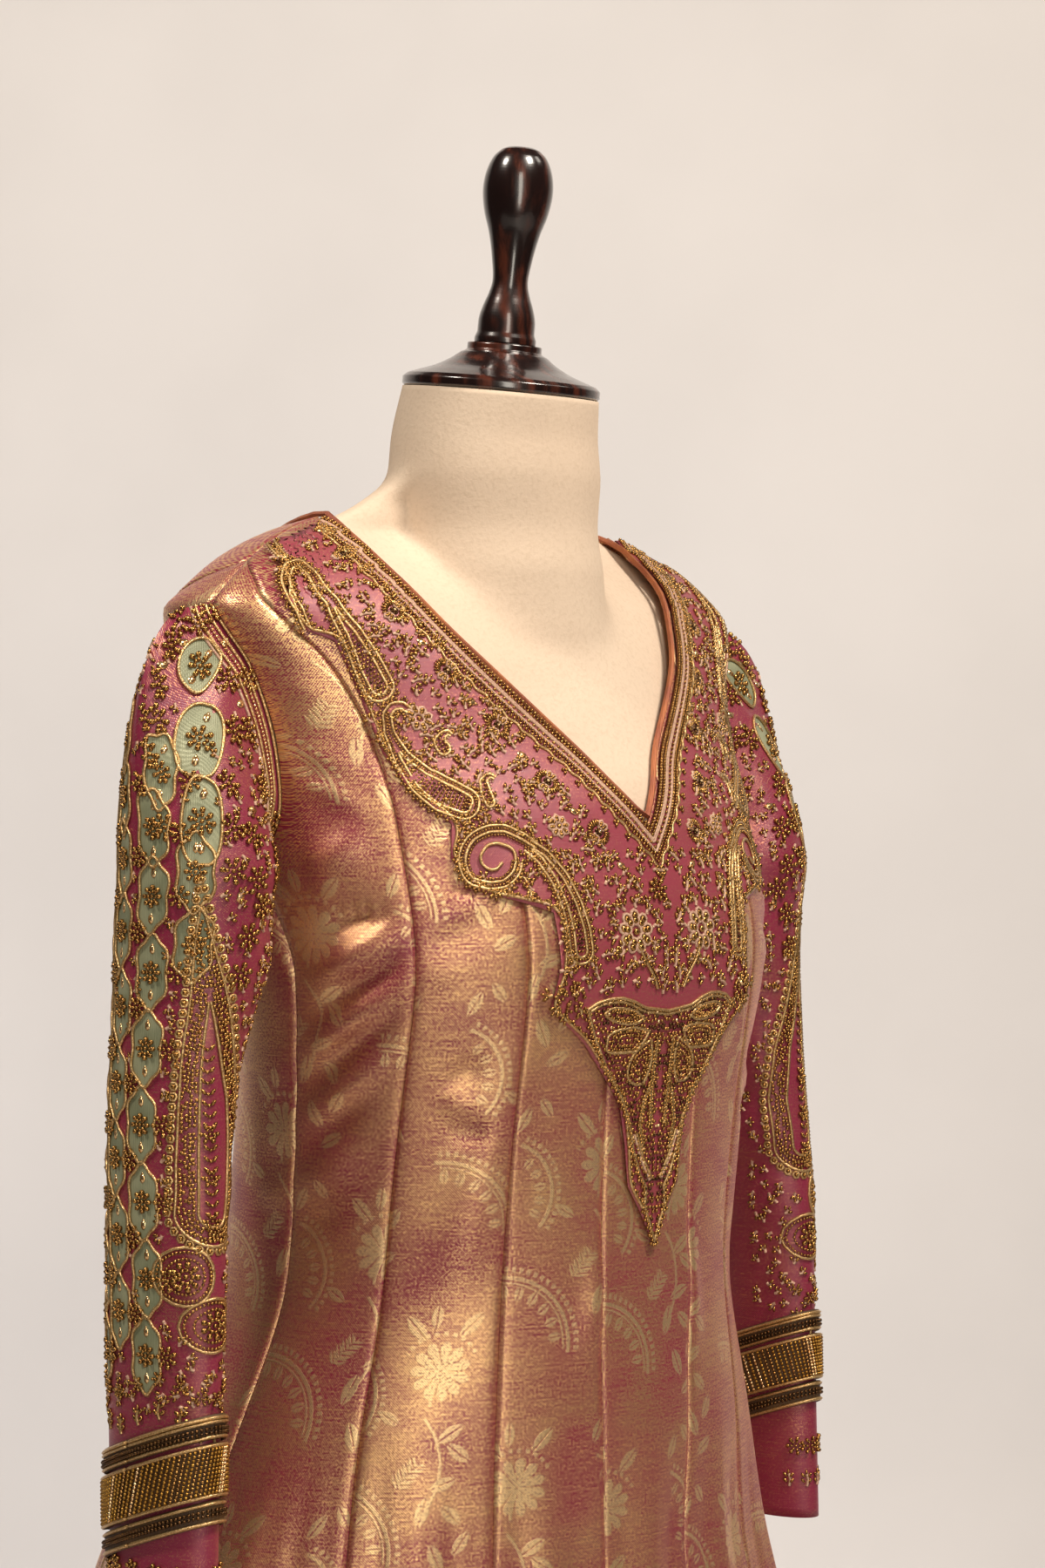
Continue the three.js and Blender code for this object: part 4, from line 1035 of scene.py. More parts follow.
def tubeNormals(grid):
    across = np.roll(grid, -1, axis=1) - np.roll(grid, 1, axis=1)
    normals = np.cross(across, np.gradient(grid, axis=0))
    return normals / np.linalg.norm(normals, axis=-1, keepdims=True)


def mirrorGrid(points, normals):
    flip = np.array([-1, 1, 1])
    return points[:, ::-1] * flip, normals[:, ::-1] * flip


sleeveBase = sleeveGrid()
sleeveNormals = tubeNormals(sleeveBase)
# loose cloth: shallow rings of folds inside the elbow and below the cap
sleeveTurn = np.arange(sleeveRound) / sleeveRound
sleeveHeights = sleeveBase[..., 2]
sleeveFolds = table(
    "z tilt turn depth wide spread",
    (1290, 60, 0.45, -3.0, 12, 0.16),
    (1248, 42, 0.5, -3.2, 11, 0.2),
    (1208, -25, 0.42, 2.2, 13, 0.18),
    (1120, 30, 0.52, -1.8, 10, 0.2),
    (1076, -24, 0.48, -2.0, 9, 0.22),
    (1040, 20, 0.55, -1.4, 8, 0.18))


def sleeveRelief(z, turn):
    total = np.zeros(np.broadcast(z, turn).shape)
    for fold in sleeveFolds:
        away = (turn - fold["turn"] + 0.5) % 1 - 0.5
        line = z - fold["z"] - fold["tilt"] * away
        total += fold["depth"] * np.exp(-(line / fold["wide"]) ** 2 - (away / fold["spread"]) ** 2)
    return total


sleeveEnds = smoothStep(0, 5, np.arange(len(sleeveBase)))[:, None] \
    * smoothStep(0, 6, np.arange(len(sleeveBase))[::-1])[:, None]
sleeveDepth = sleeveRelief(sleeveHeights, sleeveTurn[None, :]) * sleeveEnds
sleeveShape = sleeveBase + sleeveNormals * sleeveDepth[..., None]
sleeveOuterNormals = tubeNormals(sleeveShape)
uvRound = np.broadcast_to(np.abs(sleeveTurn - 0.5)[None, :] * 190, sleeveHeights.shape)
sleeveUv = np.stack([uvRound, np.cumsum(np.full(sleeveHeights.shape, 5.3), axis=0)], -1) / 100

for side in ("right", "left"):
    points, normals = sleeveShape, sleeveOuterNormals
    if side == "left":
        points, normals = mirrorGrid(points, normals)
    piece = wallMesh(f"sleeve_{side}_cloth", points, normals, cloth, sleeveSilk, sleeveUv, ring=True)
    clothPieces.append((settle(piece, f"sleeve_{side}"), points))

cuffSlope = 0.38
groundInset = 0.8
cuffBands = table(
    "name low high wall",
    ("upper_braid", 962, 974, 2.2),
    ("bead_band", 934, 960, 3.0),
    ("lower_braid", 920, 932, 2.2))


# ring of a cuff band, lower at the back edge
def bandRing(level, turns, lift):
    flat = sleeveRing(level, turns)
    z = level - cuffSlope * (flat[..., 1] - column(sleeveSections, "y", np.asarray(level, float)))
    ring = sleeveRing(z, turns)
    out = np.stack([ring[..., 0] - column(sleeveSections, "x", z),
                    (ring[..., 1] - column(sleeveSections, "y", z)) * 0.45, 0 * z], -1)
    return ring + out / np.linalg.norm(out, axis=-1, keepdims=True) * lift


bandGround = plainCloth("bandGround", srgb("5E4426"), srgb("46301C"), 0.6, 0.15)
bandPieces = []
for band in cuffBands:
    turns = np.arange(80) / 80
    levels = np.linspace(band["low"], band["high"], 7)[:, None]
    grid = bandRing(levels, turns[None, :], 1.0 + band["wall"] - 0.6)
    normals = tubeNormals(grid)
    uv = np.stack([np.broadcast_to(turns * 190, grid.shape[:2]), grid[..., 2]], -1) / 100
    for side in ("right", "left"):
        p, n = (grid, normals) if side == "right" else mirrorGrid(grid, normals)
        node = f"sleeve_{band['name']}_{side}"
        piece = wallMesh(node + "_ground", p, n, band["wall"] - groundInset, bandGround, uv, ring=True)
        bandPieces.append((settle(piece, node), p, side, band["name"]))
print("scene: sleeves made")

# Yoke ground and piping

yokeLift = 3.0
yokeWall = 0.6
neckCovered = 0.985
yokeEdge = [(0, 1058), (10, 1076), (19, 1090), (22, 1112), (27, 1134), (40, 1150), (54, 1167), (67, 1178),
            (75, 1186), (71, 1206), (73, 1234), (87, 1239), (106, 1245), (116, 1262), (113, 1279),
            (127, 1296), (134, 1315), (137, 1333), (142, 1353), (148, 1373), (160, 1378), (166, 1392),
            (160, 1409), (152, 1424)]


def yokeGrid(between, across):
    steps = np.linspace(0, len(yokeEdge) - 1, (len(yokeEdge) - 1) * between + 1)
    edge = np.array(yokeEdge, float)
    edge = np.stack([np.interp(steps, np.arange(len(edge)), edge[:, m]) for m in range(2)], 1)
    k = steps / (len(yokeEdge) - 1)
    neck = alongCurve(frontNeckline, k * neckCovered)
    z, share = np.empty((across + 1, len(k))), np.empty((across + 1, len(k)))
    for row in range(across + 1):
        t = 0.01 + 0.99 * (1 - row / across)
        for c in range(len(k)):
            x, z[row, c] = lerp(neck[c, 0], edge[c, 0], t), lerp(neck[c, 1], edge[c, 1], t)
            share[row, c] = atWidth(z[row, c], x)
    z = np.concatenate([z[:, :0:-1], z], axis=1)
    share = np.concatenate([-share[:, :0:-1], share], axis=1)
    return z, share


yokeZ, yokeShare = yokeGrid(between=4, across=40)
yokeNormals = gownNormal(yokeZ, yokeShare)
yokeRise = yokeLift - 0.9 + np.maximum(creaseRelief(yokeZ, yokeShare) * 0.6, -0.6)
yokePoints = gownAt(yokeZ, yokeShare) + yokeNormals * yokeRise[..., None]
yokeUv = np.stack([yokeShare * np.interp(yokeZ, tableZ, halfLength) + 38, yokeZ * 1.03], -1) / 100
yokePiece = settle(wallMesh("front_yoke_ground", yokePoints, yokeNormals, yokeWall, yokeSilk, yokeUv),
                   "front_yoke")

# the piping's own solid shows, in its new material
piping = bpy.data.objects["neck_piping"].data
piping.materials.clear()
piping.materials.append(copperPiping)
piping.polygons.foreach_set("use_smooth", [True] * len(piping.polygons))
print("scene: yoke and piping ready")

# Floor


def addFloor():
    floorMaterial, tree, shader = newMaterial("studioPaper", 0.9)
    chain = Chain(tree)
    coords = chain.node("ShaderNodeTexCoord")
    tone = chain.noise(coords.outputs["Object"], 3.0, 3.0)
    paper = chain.mix(chain.ramp(tone, 0.3, 0.7), srgb("CFCBC9"), srgb("D4D0CE"))
    chain.put(shader.inputs["Base Color"], paper)
    # floor that curves up into a wall behind the object
    profile = [(-2.2, 0), (0.9, 0)]
    profile += [(0.9 + 0.7 * math.sin(a), 0.7 - 0.7 * math.cos(a)) for a in np.linspace(0.1, math.pi / 2, 12)]
    profile += [(1.6, 3.2)]
    across = (-3.0, 3.0)
    c, s = math.cos(math.radians(-45)), math.sin(math.radians(-45))
    points = []
    for depth, z in profile:
        for side in across:
            points.append((side * c - depth * s, side * s + depth * c, z))
    faces = [(2 * k, 2 * k + 1, 2 * k + 3, 2 * k + 2) for k in range(len(profile) - 1)]
    floor = meshObject("studio_floor", np.array(points) / mm, faces, floorMaterial)


addFloor()


# Dress form, cap, finial and stand, finer than the solids

formSections = table(
    "z width centre front frontPower back backPower",
    (790, 146, 5, 98, 2.0, 112, 2.1),
    (871, 160, 4, 106, 2.0, 118, 2.1),
    (960, 146, 0, 100, 2.0, 108, 2.1),
    (1050, 116, -4, 90, 2.0, 86, 2.1),
    (1130, 128, -4, 100, 2.1, 86, 2.1),
    (1210, 150, -4, 116, 2.1, 92, 2.2))
chestZ = 1279
neckTopZ = 1515
neckTilt = math.radians(7)
formGap = {"rest": 0.8, "chest": 2.4, "tip": 4.5, "drop": 5.0}


def coveredSections():
    rows = []
    for row in gownSections:
        if row["z"] < chestZ:
            continue
        inset = cloth + (formGap["chest"] if row["z"] < 1440 else formGap["rest"])
        inset += formGap["tip"] if 1340 < row["z"] < 1430 else 0
        rows.append(dict(row, **{side: row[side] - inset for side in ("width", "front", "back")}))
    return formSections + rows


def addForm():
    levels = np.concatenate([[790], np.linspace(792, 1300, 30), np.linspace(1304, neckTopZ, 80)])
    angles = np.linspace(0, math.tau, 145)[:-1]
    half = np.where(angles <= math.pi, angles, math.tau - angles)
    covered = 1 - smoothStep(1440, 1470, levels)
    rings = []
    for level, cover in zip(levels, covered):
        x, y = sectionReach(coveredSections(), level, half, cover * (cloth + formGap["chest"]))
        x = np.where(angles <= math.pi, x, -x)
        shrink = 0.95 if level == 790 else 1.0
        lowered = cover * formGap["drop"] * smoothStep(1360, 1406, level)
        slope = smoothStep(1465, neckTopZ, level) * math.tan(neckTilt)
        rings.append(np.stack([x * shrink, y * shrink, level - lowered + slope * y], 1))
    grid = np.array(rings)
    points = np.concatenate([grid.reshape(-1, 3), grid[:1].mean(1), grid[-1:].mean(1)])
    faces = roundFaces(*grid.shape[:2])
    settle(meshObject("dress_form_smooth", points, faces, creamSuede), "dress_form")


# turned wood from a profile of radius and height; short bevels keep its corners crisp
def turnedPiece(name, node, profile, place, tilt=0.0, rings=72):
    fine = [profile[0]]
    for k in range(1, len(profile)):
        a, b = profile[k - 1], profile[k]
        fine += [(lerp(a[0], b[0], t), lerp(a[1], b[1], t)) for t in (0.03, 0.97)] + [b]
    smoothed = [fine[0]] + [((fine[k - 1][0] + 2 * fine[k][0] + fine[k + 1][0]) / 4,
                             (fine[k - 1][1] + 2 * fine[k][1] + fine[k + 1][1]) / 4)
                            for k in range(1, len(fine) - 1)] + [fine[-1]]
    angles = np.linspace(0, math.tau, rings + 1)[:-1]
    grid = np.array([np.stack([r * np.cos(angles), r * np.sin(angles), np.full(rings, h)], 1)
                     for r, h in smoothed[1:-1]])
    points = np.concatenate([grid.reshape(-1, 3), [[0, 0, smoothed[0][1]], [0, 0, smoothed[-1][1]]]])
    c, s = math.cos(tilt), math.sin(tilt)
    y, z = points[:, 1].copy(), points[:, 2].copy()
    points[:, 1], points[:, 2] = y * c - z * s, y * s + z * c
    piece = meshObject(name, points + np.array(place), roundFaces(len(grid), rings), darkWalnut)
    settle(piece, node)


# smooth profile through control radii, for the turned swellings of the finial
def smoothProfile(points):
    return [tuple(row) for row in alongCurve(points, np.linspace(0, 1, 5 * len(points)))]


capProfile = ([(0, 0), (53.4, 0), (54.6, 1.4), (54.6, 5), (52.2, 7.2)]
              + smoothProfile([(52.2, 7.2), (45.6, 9.6), (36.6, 13), (28.6, 17.5), (24, 21)])[1:]
              + [(21.5, 22.2), (20.5, 23), (20.5, 26.5), (0, 26.5)])
finialProfile = ([(0, 0), (17, 0), (17, 3), (15.8, 6)]
                 + smoothProfile([(15.8, 6), (15.5, 14), (13.6, 21), (11.4, 27), (9.8, 34), (11.1, 46),
                                  (14, 60), (17.7, 72), (19.3, 84), (17.9, 94), (14.3, 102),
                                  (10.3, 105.8)])[1:]
                 + [(7.3, 107), (0, 107)])
baseProfile = ([(0, 0), (188, 0), (190, 2), (190, 18)]
               + smoothProfile([(190, 18), (188.6, 22), (184, 24)])[1:] + [(40, 24), (0, 24)])
poleProfile = [(0, 24.3), (16, 24.3), (16, 26), (16, 700), (16, 789.7), (0, 789.7)]
capTall = 26.5


# the cap and finial lean back a little, as the neck does
def addWood():
    capPlace = np.array([0, -3, neckTopZ + seamGap - 3 * math.tan(neckTilt)])
    turnedPiece("neck_cap_turned", "neck_cap", capProfile, capPlace, neckTilt)
    lift = capTall + seamGap
    finialPlace = capPlace + np.array([0, -math.sin(neckTilt) * lift, math.cos(neckTilt) * lift])
    turnedPiece("finial_turned", "finial", finialProfile, finialPlace, neckTilt, 48)
    turnedPiece("stand_base_turned", "stand_base", baseProfile, (0, 0, 0), rings=96)
    turnedPiece("stand_pole_turned", "stand_pole", poleProfile, (0, 0, 0))


addForm()
addWood()

# a curved cloth face that embroidery is laid on, read at (row, across) places
class Skin:
    def __init__(self, locate, stepRow, stepAcross, lift):
        self.locate, self.stepRow, self.stepAcross, self.lift = locate, stepRow, stepAcross, lift

    def frame(self, i, j):
        i, j = np.broadcast_arrays(np.asarray(i, float), np.asarray(j, float))
        place, normal = self.locate(i, j)
        a, b = self.stepRow, self.stepAcross
        perRow = (self.locate(i + a, j)[0] - self.locate(i - a, j)[0]) / (2 * a)
        perAcross = (self.locate(i, j + b)[0] - self.locate(i, j - b)[0]) / (2 * b)
        return place, normal, perRow, perAcross

    # place reached by moving u across and v up, in millimetres
    def moved(self, i, j, u, v):
        perRow, perAcross = self.frame(i, j)[2:]
        return (i + v / np.linalg.norm(perRow, axis=-1), j + u / np.linalg.norm(perAcross, axis=-1))

    # place reached by moving along a direction in space
    def stepped(self, i, j, way):
        perRow, perAcross = self.frame(i, j)[2:]
        rr, aa = (perRow * perRow).sum(-1), (perAcross * perAcross).sum(-1)
        ra = (perRow * perAcross).sum(-1)
        r, a = (perRow * way).sum(-1), (perAcross * way).sum(-1)
        det = rr * aa - ra * ra
        return i + (r * aa - a * ra) / det, j + (a * rr - r * ra) / det


def unit(v):
    return v / np.maximum(np.linalg.norm(v, axis=-1, keepdims=True), 1e-9)


# even places along a line of (row, across) places on a skin
def evenPlaces(skin, line, pitch, closed=False):
    line = np.asarray(line, float)
    if closed:
        line = np.concatenate([line, line[:1]])
    points = skin.locate(line[:, 0], line[:, 1])[0]
    length = np.concatenate([[0], np.cumsum(np.linalg.norm(np.diff(points, axis=0), axis=1))])
    count = max(int(round(length[-1] / pitch)), 2)
    at = np.linspace(0, length[-1], count + 1)
    at = at[:-1] if closed else at
    return np.stack([np.interp(at, length, line[:, m]) for m in range(2)], 1)


# lines moved sideways in the skin; positive is to the left of the way they run
def offsetLine(skin, line, distance):
    line = np.asarray(line, float)
    place, normal = skin.locate(line[:, 0], line[:, 1])
    side = np.cross(normal, unit(np.gradient(place, axis=0)))
    side *= np.broadcast_to(np.asarray(distance, float), len(line))[:, None]
    return np.stack(skin.stepped(line[:, 0], line[:, 1], side), 1)


# collected beads and cords of one piece of embroidery; a bead with a twin is mirrored too
class Stitching:
    def __init__(self, skin, beads=None, cords=None):
        self.skin = skin
        self.beads, self.cords = {} if beads is None else beads, {} if cords is None else cords

    # the same embroidery, carried on over another face
    def on(self, skin):
        return Stitching(skin, self.beads, self.cords)

    def bead(self, kind, places, size, turn=0.0, lift=0.0, twin=True):
        places = np.atleast_2d(np.asarray(places, float))
        place, normal, perRow, perAcross = self.skin.frame(places[:, 0], places[:, 1])
        across = unit(perAcross)
        up = np.cross(normal, across)
        turn = np.broadcast_to(np.asarray(turn, float), len(places))[:, None]
        way = across * np.cos(turn) + up * np.sin(turn)
        size = np.broadcast_to(np.asarray(size, float), (len(places), 3))
        place = place + normal * (self.skin.lift + lift + size[:, 2:] * 0.7)
        self.beads.setdefault(kind, []).append((place, way, normal, size, twin))

    def cord(self, kind, line, radius, pitch=1.5, closed=False, lift=0.0, rope=0.22):
        line = evenPlaces(self.skin, line, pitch, closed)
        place, normal = self.skin.locate(line[:, 0], line[:, 1])
        thick = radius * (1 + rope * np.where(np.arange(len(line)) % 2, 1, -1))
        place = place + normal * (self.skin.lift + lift + radius * 0.6)
        self.cords.setdefault(kind, []).append((place, thick, closed))


flipX = np.array([-1.0, 1.0, 1.0])


# Geometry Nodes with named inputs: points or lines, whole numbers and a finish
def geometryGroup(name, source, counts, result):
    group = bpy.data.node_groups.new(name, "GeometryNodeTree")

    def socket(label, way, kind):
        return group.interface.new_socket(name=label, in_out=way, socket_type="NodeSocket" + kind)
    socket(source, "INPUT", "Geometry")
    for label, count in counts.items():
        socket(label, "INPUT", "Int").default_value = count
    socket("Finish", "INPUT", "Material")
    socket(result, "OUTPUT", "Geometry")
    return group, group.nodes.new("NodeGroupInput"), group.nodes.new("NodeGroupOutput")


def geometryNode(group, kind, **values):
    node = group.nodes.new("GeometryNode" + kind)
    for label, value in values.items():
        node.inputs[label].default_value = value
    return node


def attributeNode(group, kind, label):
    node = group.nodes.new("GeometryNodeInputNamedAttribute")
    node.data_type = kind
    node.inputs["Name"].default_value = label
    return node.outputs["Attribute"]


# realizes, smooths and paints what a group makes
def finishGroup(group, entry, leave, made):
    kinds = ("RealizeInstances", "SetShadeSmooth", "SetMaterial")
    real, soft, paint = (geometryNode(group, kind) for kind in kinds)
    for a, b in ((made, real), (real.outputs["Geometry"], soft), (soft.outputs["Geometry"], paint)):
        group.links.new(a, b.inputs["Geometry"])
    group.links.new(entry.outputs["Finish"], paint.inputs["Material"])
    group.links.new(paint.outputs["Geometry"], leave.inputs[0])
    return group


# sets an ellipsoid bead on each point
def beadNodes():
    group, entry, leave = geometryGroup("beadsOnPoints", "Points", {"Segments": 6, "Rings": 4}, "Beads")
    link = group.links.new
    ball = geometryNode(group, "MeshUVSphere", Radius=mm)
    put = geometryNode(group, "InstanceOnPoints")
    euler = group.nodes.new("FunctionNodeEulerToRotation")
    link(entry.outputs["Points"], put.inputs["Points"])
    link(entry.outputs["Segments"], ball.inputs["Segments"])
    link(entry.outputs["Rings"], ball.inputs["Rings"])
    link(ball.outputs["Mesh"], put.inputs["Instance"])
    link(attributeNode(group, "FLOAT_VECTOR", "beadSize"), put.inputs["Scale"])
    link(attributeNode(group, "FLOAT_VECTOR", "beadTurn"), euler.inputs["Euler"])
    link(euler.outputs["Rotation"], put.inputs["Rotation"])
    return finishGroup(group, entry, leave, put.outputs["Instances"])


# sweeps a round cord along each line
def cordNodes():
    group, entry, leave = geometryGroup("cordsOnLines", "Lines", {"Sides": 5}, "Cords")
    link = group.links.new
    curve, radius = geometryNode(group, "MeshToCurve"), geometryNode(group, "SetCurveRadius")
    profile = geometryNode(group, "CurvePrimitiveCircle", Radius=mm)
    sweep = geometryNode(group, "CurveToMesh", **{"Fill Caps": True})
    link(entry.outputs["Lines"], curve.inputs["Mesh"])
    link(curve.outputs["Curve"], radius.inputs["Curve"])
    link(attributeNode(group, "FLOAT", "cordRadius"), radius.inputs["Radius"])
    link(radius.outputs["Curve"], sweep.inputs["Curve"])
    link(entry.outputs["Sides"], profile.inputs["Resolution"])
    link(profile.outputs["Curve"], sweep.inputs["Profile Curve"])
    return finishGroup(group, entry, leave, sweep.outputs["Mesh"])


def runNodes(name, mesh, group, values):
    holder = bpy.data.objects.new(name + "_base", mesh)
    scene.collection.objects.link(holder)
    modifier = holder.modifiers.new("nodes", "NODES")
    modifier.node_group = group
    for item in group.interface.items_tree:
        if item.item_type == "SOCKET" and item.in_out == "INPUT" and item.name in values:
            modifier[item.identifier] = values[item.name]
    holder.update_tag()
    shape = holder.evaluated_get(bpy.context.evaluated_depsgraph_get())
    made = bpy.data.meshes.new_from_object(shape)
    made.name = name
    bpy.data.objects.remove(holder)
    piece = bpy.data.objects.new(name, made)
    scene.collection.objects.link(piece)
    return settle(piece)


beadGroup, cordGroup = beadNodes(), cordNodes()
beadRings, cordSides = 3, 4
triangleCount = {}


def beadPiece(name, parts, material, segments, rings, side="both"):
    place, way, normal, size = [], [], [], []
    for p, w, n, s, twin in parts:
        if side != "left":
            place.append(p), way.append(w), normal.append(n), size.append(s)
        if side == "left" or side == "both" and twin:
            place.append(p * flipX), way.append(w * flipX), normal.append(n * flipX), size.append(s)
    place, way, normal, size = (np.concatenate(part) for part in (place, way, normal, size))
    way = unit(way)
    other = unit(np.cross(normal, way))
    up = np.cross(way, other)
    turn = np.stack([np.arctan2(other[:, 2], up[:, 2]), -np.arcsin(np.clip(way[:, 2], -1, 1)),
                     np.arctan2(way[:, 1], way[:, 0])], 1)
    mesh = bpy.data.meshes.new(name + "_points")
    mesh.from_pydata((place * mm).tolist(), [], [])
    for label, values in (("beadSize", size), ("beadTurn", turn)):
        mesh.attributes.new(label, "FLOAT_VECTOR", "POINT").data.foreach_set("vector", values.ravel())
    piece = runNodes(name, mesh, beadGroup, {"Segments": segments, "Rings": rings, "Finish": material})
    triangleCount[name] = len(place) * 2 * segments * (rings - 1)
    return piece


def cordPiece(name, parts, material, sides, side="both"):
    place, thick, edges, start = [], [], [], 0
    for p, t, closed in parts:
        copies = {"right": [p], "left": [p * flipX], "both": [p, p * flipX]}[side]
        for copy in copies:
            ids = np.arange(len(copy)) + start
            pairs = np.stack([ids[:-1], ids[1:]], 1)
            edges.append(np.concatenate([pairs, [[ids[-1], ids[0]]]]) if closed else pairs)
            place.append(copy), thick.append(t)
            start += len(copy)
    place, thick, edges = np.concatenate(place), np.concatenate(thick), np.concatenate(edges)
    mesh = bpy.data.meshes.new(name + "_lines")
    mesh.from_pydata((place * mm).tolist(), edges.tolist(), [])
    mesh.attributes.new("cordRadius", "FLOAT", "POINT").data.foreach_set("value", thick)
    piece = runNodes(name, mesh, cordGroup, {"Sides": sides, "Finish": material})
    triangleCount[name] = len(place) * 2 * sides
    return piece


finishes = {"antique": antiqueBead, "gold": goldCord, "pale": paleGold, "thread": whiteThread,
            "dark": darkBead, "brass": brassBead}


def stitchPieces(name, work, segments=6, side="both"):
    made = [beadPiece(f"{name}_{kind}_beads", parts, finishes[kind], segments, beadRings, side)
            for kind, parts in work.beads.items()]
    made += [cordPiece(f"{name}_{kind}_cords", parts, finishes[kind], cordSides, side)
             for kind, parts in work.cords.items()]
    return made


# motifs, in millimetres about their own centre: u across, v up
def turnedPlaces(skin, centre, u, v, angle=0.0, size=1.0):
    u, v = np.asarray(u, float) * size, np.asarray(v, float) * size
    c, s = math.cos(angle), math.sin(angle)
    return np.stack(skin.moved(centre[0], centre[1], u * c - v * s, u * s + v * c), 1)


def outlinedPetal(work, centre, angle, near, far, wide, size):
    t = np.linspace(0, 2 * math.pi, 9)[:-1]
    mid, half = (near + far) / 2, (far - near) / 2
    u, v = mid + half * np.cos(t), wide * np.sin(t)
    work.cord("thread", turnedPlaces(work.skin, centre, u, v, angle, size), 0.24, 1.9, True, rope=0)
    along = np.linspace(near, far, 4)[1:-1]
    work.bead("antique", turnedPlaces(work.skin, centre, along, 0 * along, angle, size),
              (half / 2 * 1.0 * size, wide * 0.78 * size, 0.9), angle)


def daisy(work, centre, size, petals, angle):
    for k in range(petals):
        outlinedPetal(work, centre, angle + k * math.tau / petals, 1.8, 6.4, 1.7, size)
    work.bead("antique", [centre], (1.3 * size,) * 2 + (1.0,))


# knotted flower: a ring of round beads about one in the middle
def beadFlower(work, centre, size, petals, angle=0.0, twin=True):
    a = angle + np.arange(petals) * math.tau / petals
    for reach, radius in ((2.9, 1.15), (5.1, 1.6)):
        work.bead("antique", turnedPlaces(work.skin, centre, reach * np.cos(a), reach * np.sin(a), 0, size),
                  (radius * size * 1.1, radius * size, radius * 0.9), a, twin=twin)
    work.bead("antique", [centre], (1.3 * size, 1.3 * size, 1.2), twin=twin)


# two fans of tube beads with a tuft between them
def fanFlower(work, centre, angle, size):
    for base in (0.0, math.pi):
        a = base + np.linspace(-0.95, 0.95, 8)
        work.bead("antique", turnedPlaces(work.skin, centre, 5.4 * np.cos(a), 5.4 * np.sin(a), angle, size),
                  (2.5 * size, 0.62 * size, 0.8), a + angle)
        for tilt in (-1.35, 1.35):
            outlinedPetal(work, centre, angle + base + tilt, 2.2, 7.4, 1.6, size)
    a = np.arange(6) * math.tau / 6
    work.bead("dark", turnedPlaces(work.skin, centre, 1.7 * np.cos(a), 1.7 * np.sin(a), angle, size),
              (1.0, 0.9, 0.9), a)
    work.bead("pale", [centre], (1.0, 1.0, 1.2), lift=0.5)


def goldLeaf(work, centre, angle, long=3.4, wide=2.3):
    work.bead("pale", [centre], (long, wide, 0.45), angle)
    work.bead("pale", turnedPlaces(work.skin, centre, [long * 0.7], [0], angle),
              (long * 0.45, wide * 0.45, 0.4), angle)


# sprig: a thin stem with paired bead leaves
def sprig(work, centre, angle, pairs, size, stem="thread"):
    reach = 3.4 * pairs
    t = np.linspace(0, 1, 6)
    bend = 0.9 * np.sin(t * math.pi)
    work.cord(stem, turnedPlaces(work.skin, centre, reach * t, bend, angle, size), 0.34, 1.8, rope=0)
    for k in range(pairs):
        at = 1.6 + 3.2 * k
        for side in (1, -1):
            out = turnedPlaces(work.skin, centre, [at + 1.5], [side * 1.9], angle, size)
            work.bead("antique", out, (2.0 * size, 1.0 * size, 0.9), angle + side * 0.75)
    tip = turnedPlaces(work.skin, centre, [reach + 1.2], [0], angle, size)
    work.bead("antique", tip, (1.7, 0.85, 0.8), angle)


# drop shape along a spine with half widths; the far end is round
def dropEdges(skin, spine, halves, inset=0.0, step=1.5):
    line = evenPlaces(skin, spine, step)
    place, normal = skin.locate(line[:, 0], line[:, 1])
    way = unit(np.gradient(place, axis=0))
    half = np.interp(np.linspace(0, 1, len(line)), np.linspace(0, 1, len(halves)), halves)
    rows = [(line[k], np.cross(normal[k], way[k]), half[k] - inset)
            for k in range(len(line)) if half[k] - inset > 0.3]
    radius = half[-1] - inset
    for s in np.arange(step * 0.7, radius, step * 0.7) if radius > step else ():
        i, j = skin.stepped(line[-1:, 0], line[-1:, 1], way[-1:] * s)
        rows.append((np.array([i[0], j[0]]), np.cross(normal[-1], way[-1]), math.sqrt(radius ** 2 - s ** 2)))
    return rows


def dropOutline(skin, rows):
    sides = []
    for sign in (1, -1):
        line = [np.stack(skin.stepped(np.array([c[0]]), np.array([c[1]]), side[None] * half * sign), 1)[0]
                for c, side, half in rows]
        sides.append(np.array(line))
    return np.concatenate([sides[0], sides[1][::-1]])


def dropFill(skin, rows, pitch):
    out = []
    for number, (c, side, half) in enumerate(rows):
        count = int(max(half, 0) * 2 / pitch)
        across = (np.arange(count + 1) - count / 2) * pitch + (pitch / 4 if number % 2 else -pitch / 4)
        i, j = np.full(count + 1, c[0]), np.full(count + 1, c[1])
        out.append(np.stack(skin.stepped(i, j, side[None] * across[:, None]), 1))
    return np.concatenate(out) if out else np.empty((0, 2))


# little groups of three beads standing out round an outline
def picots(work, outline, pitch, outward):
    line = evenPlaces(work.skin, outline, pitch)
    for shift, reach in ((-0.28, 0.2), (0, 1.5), (0.28, 0.2)):
        moved = offsetLine(work.skin, line, outward * (1.0 + reach))
        work.bead("antique", moved + np.gradient(line, axis=0) * shift, (1.05, 1.0, 0.95))


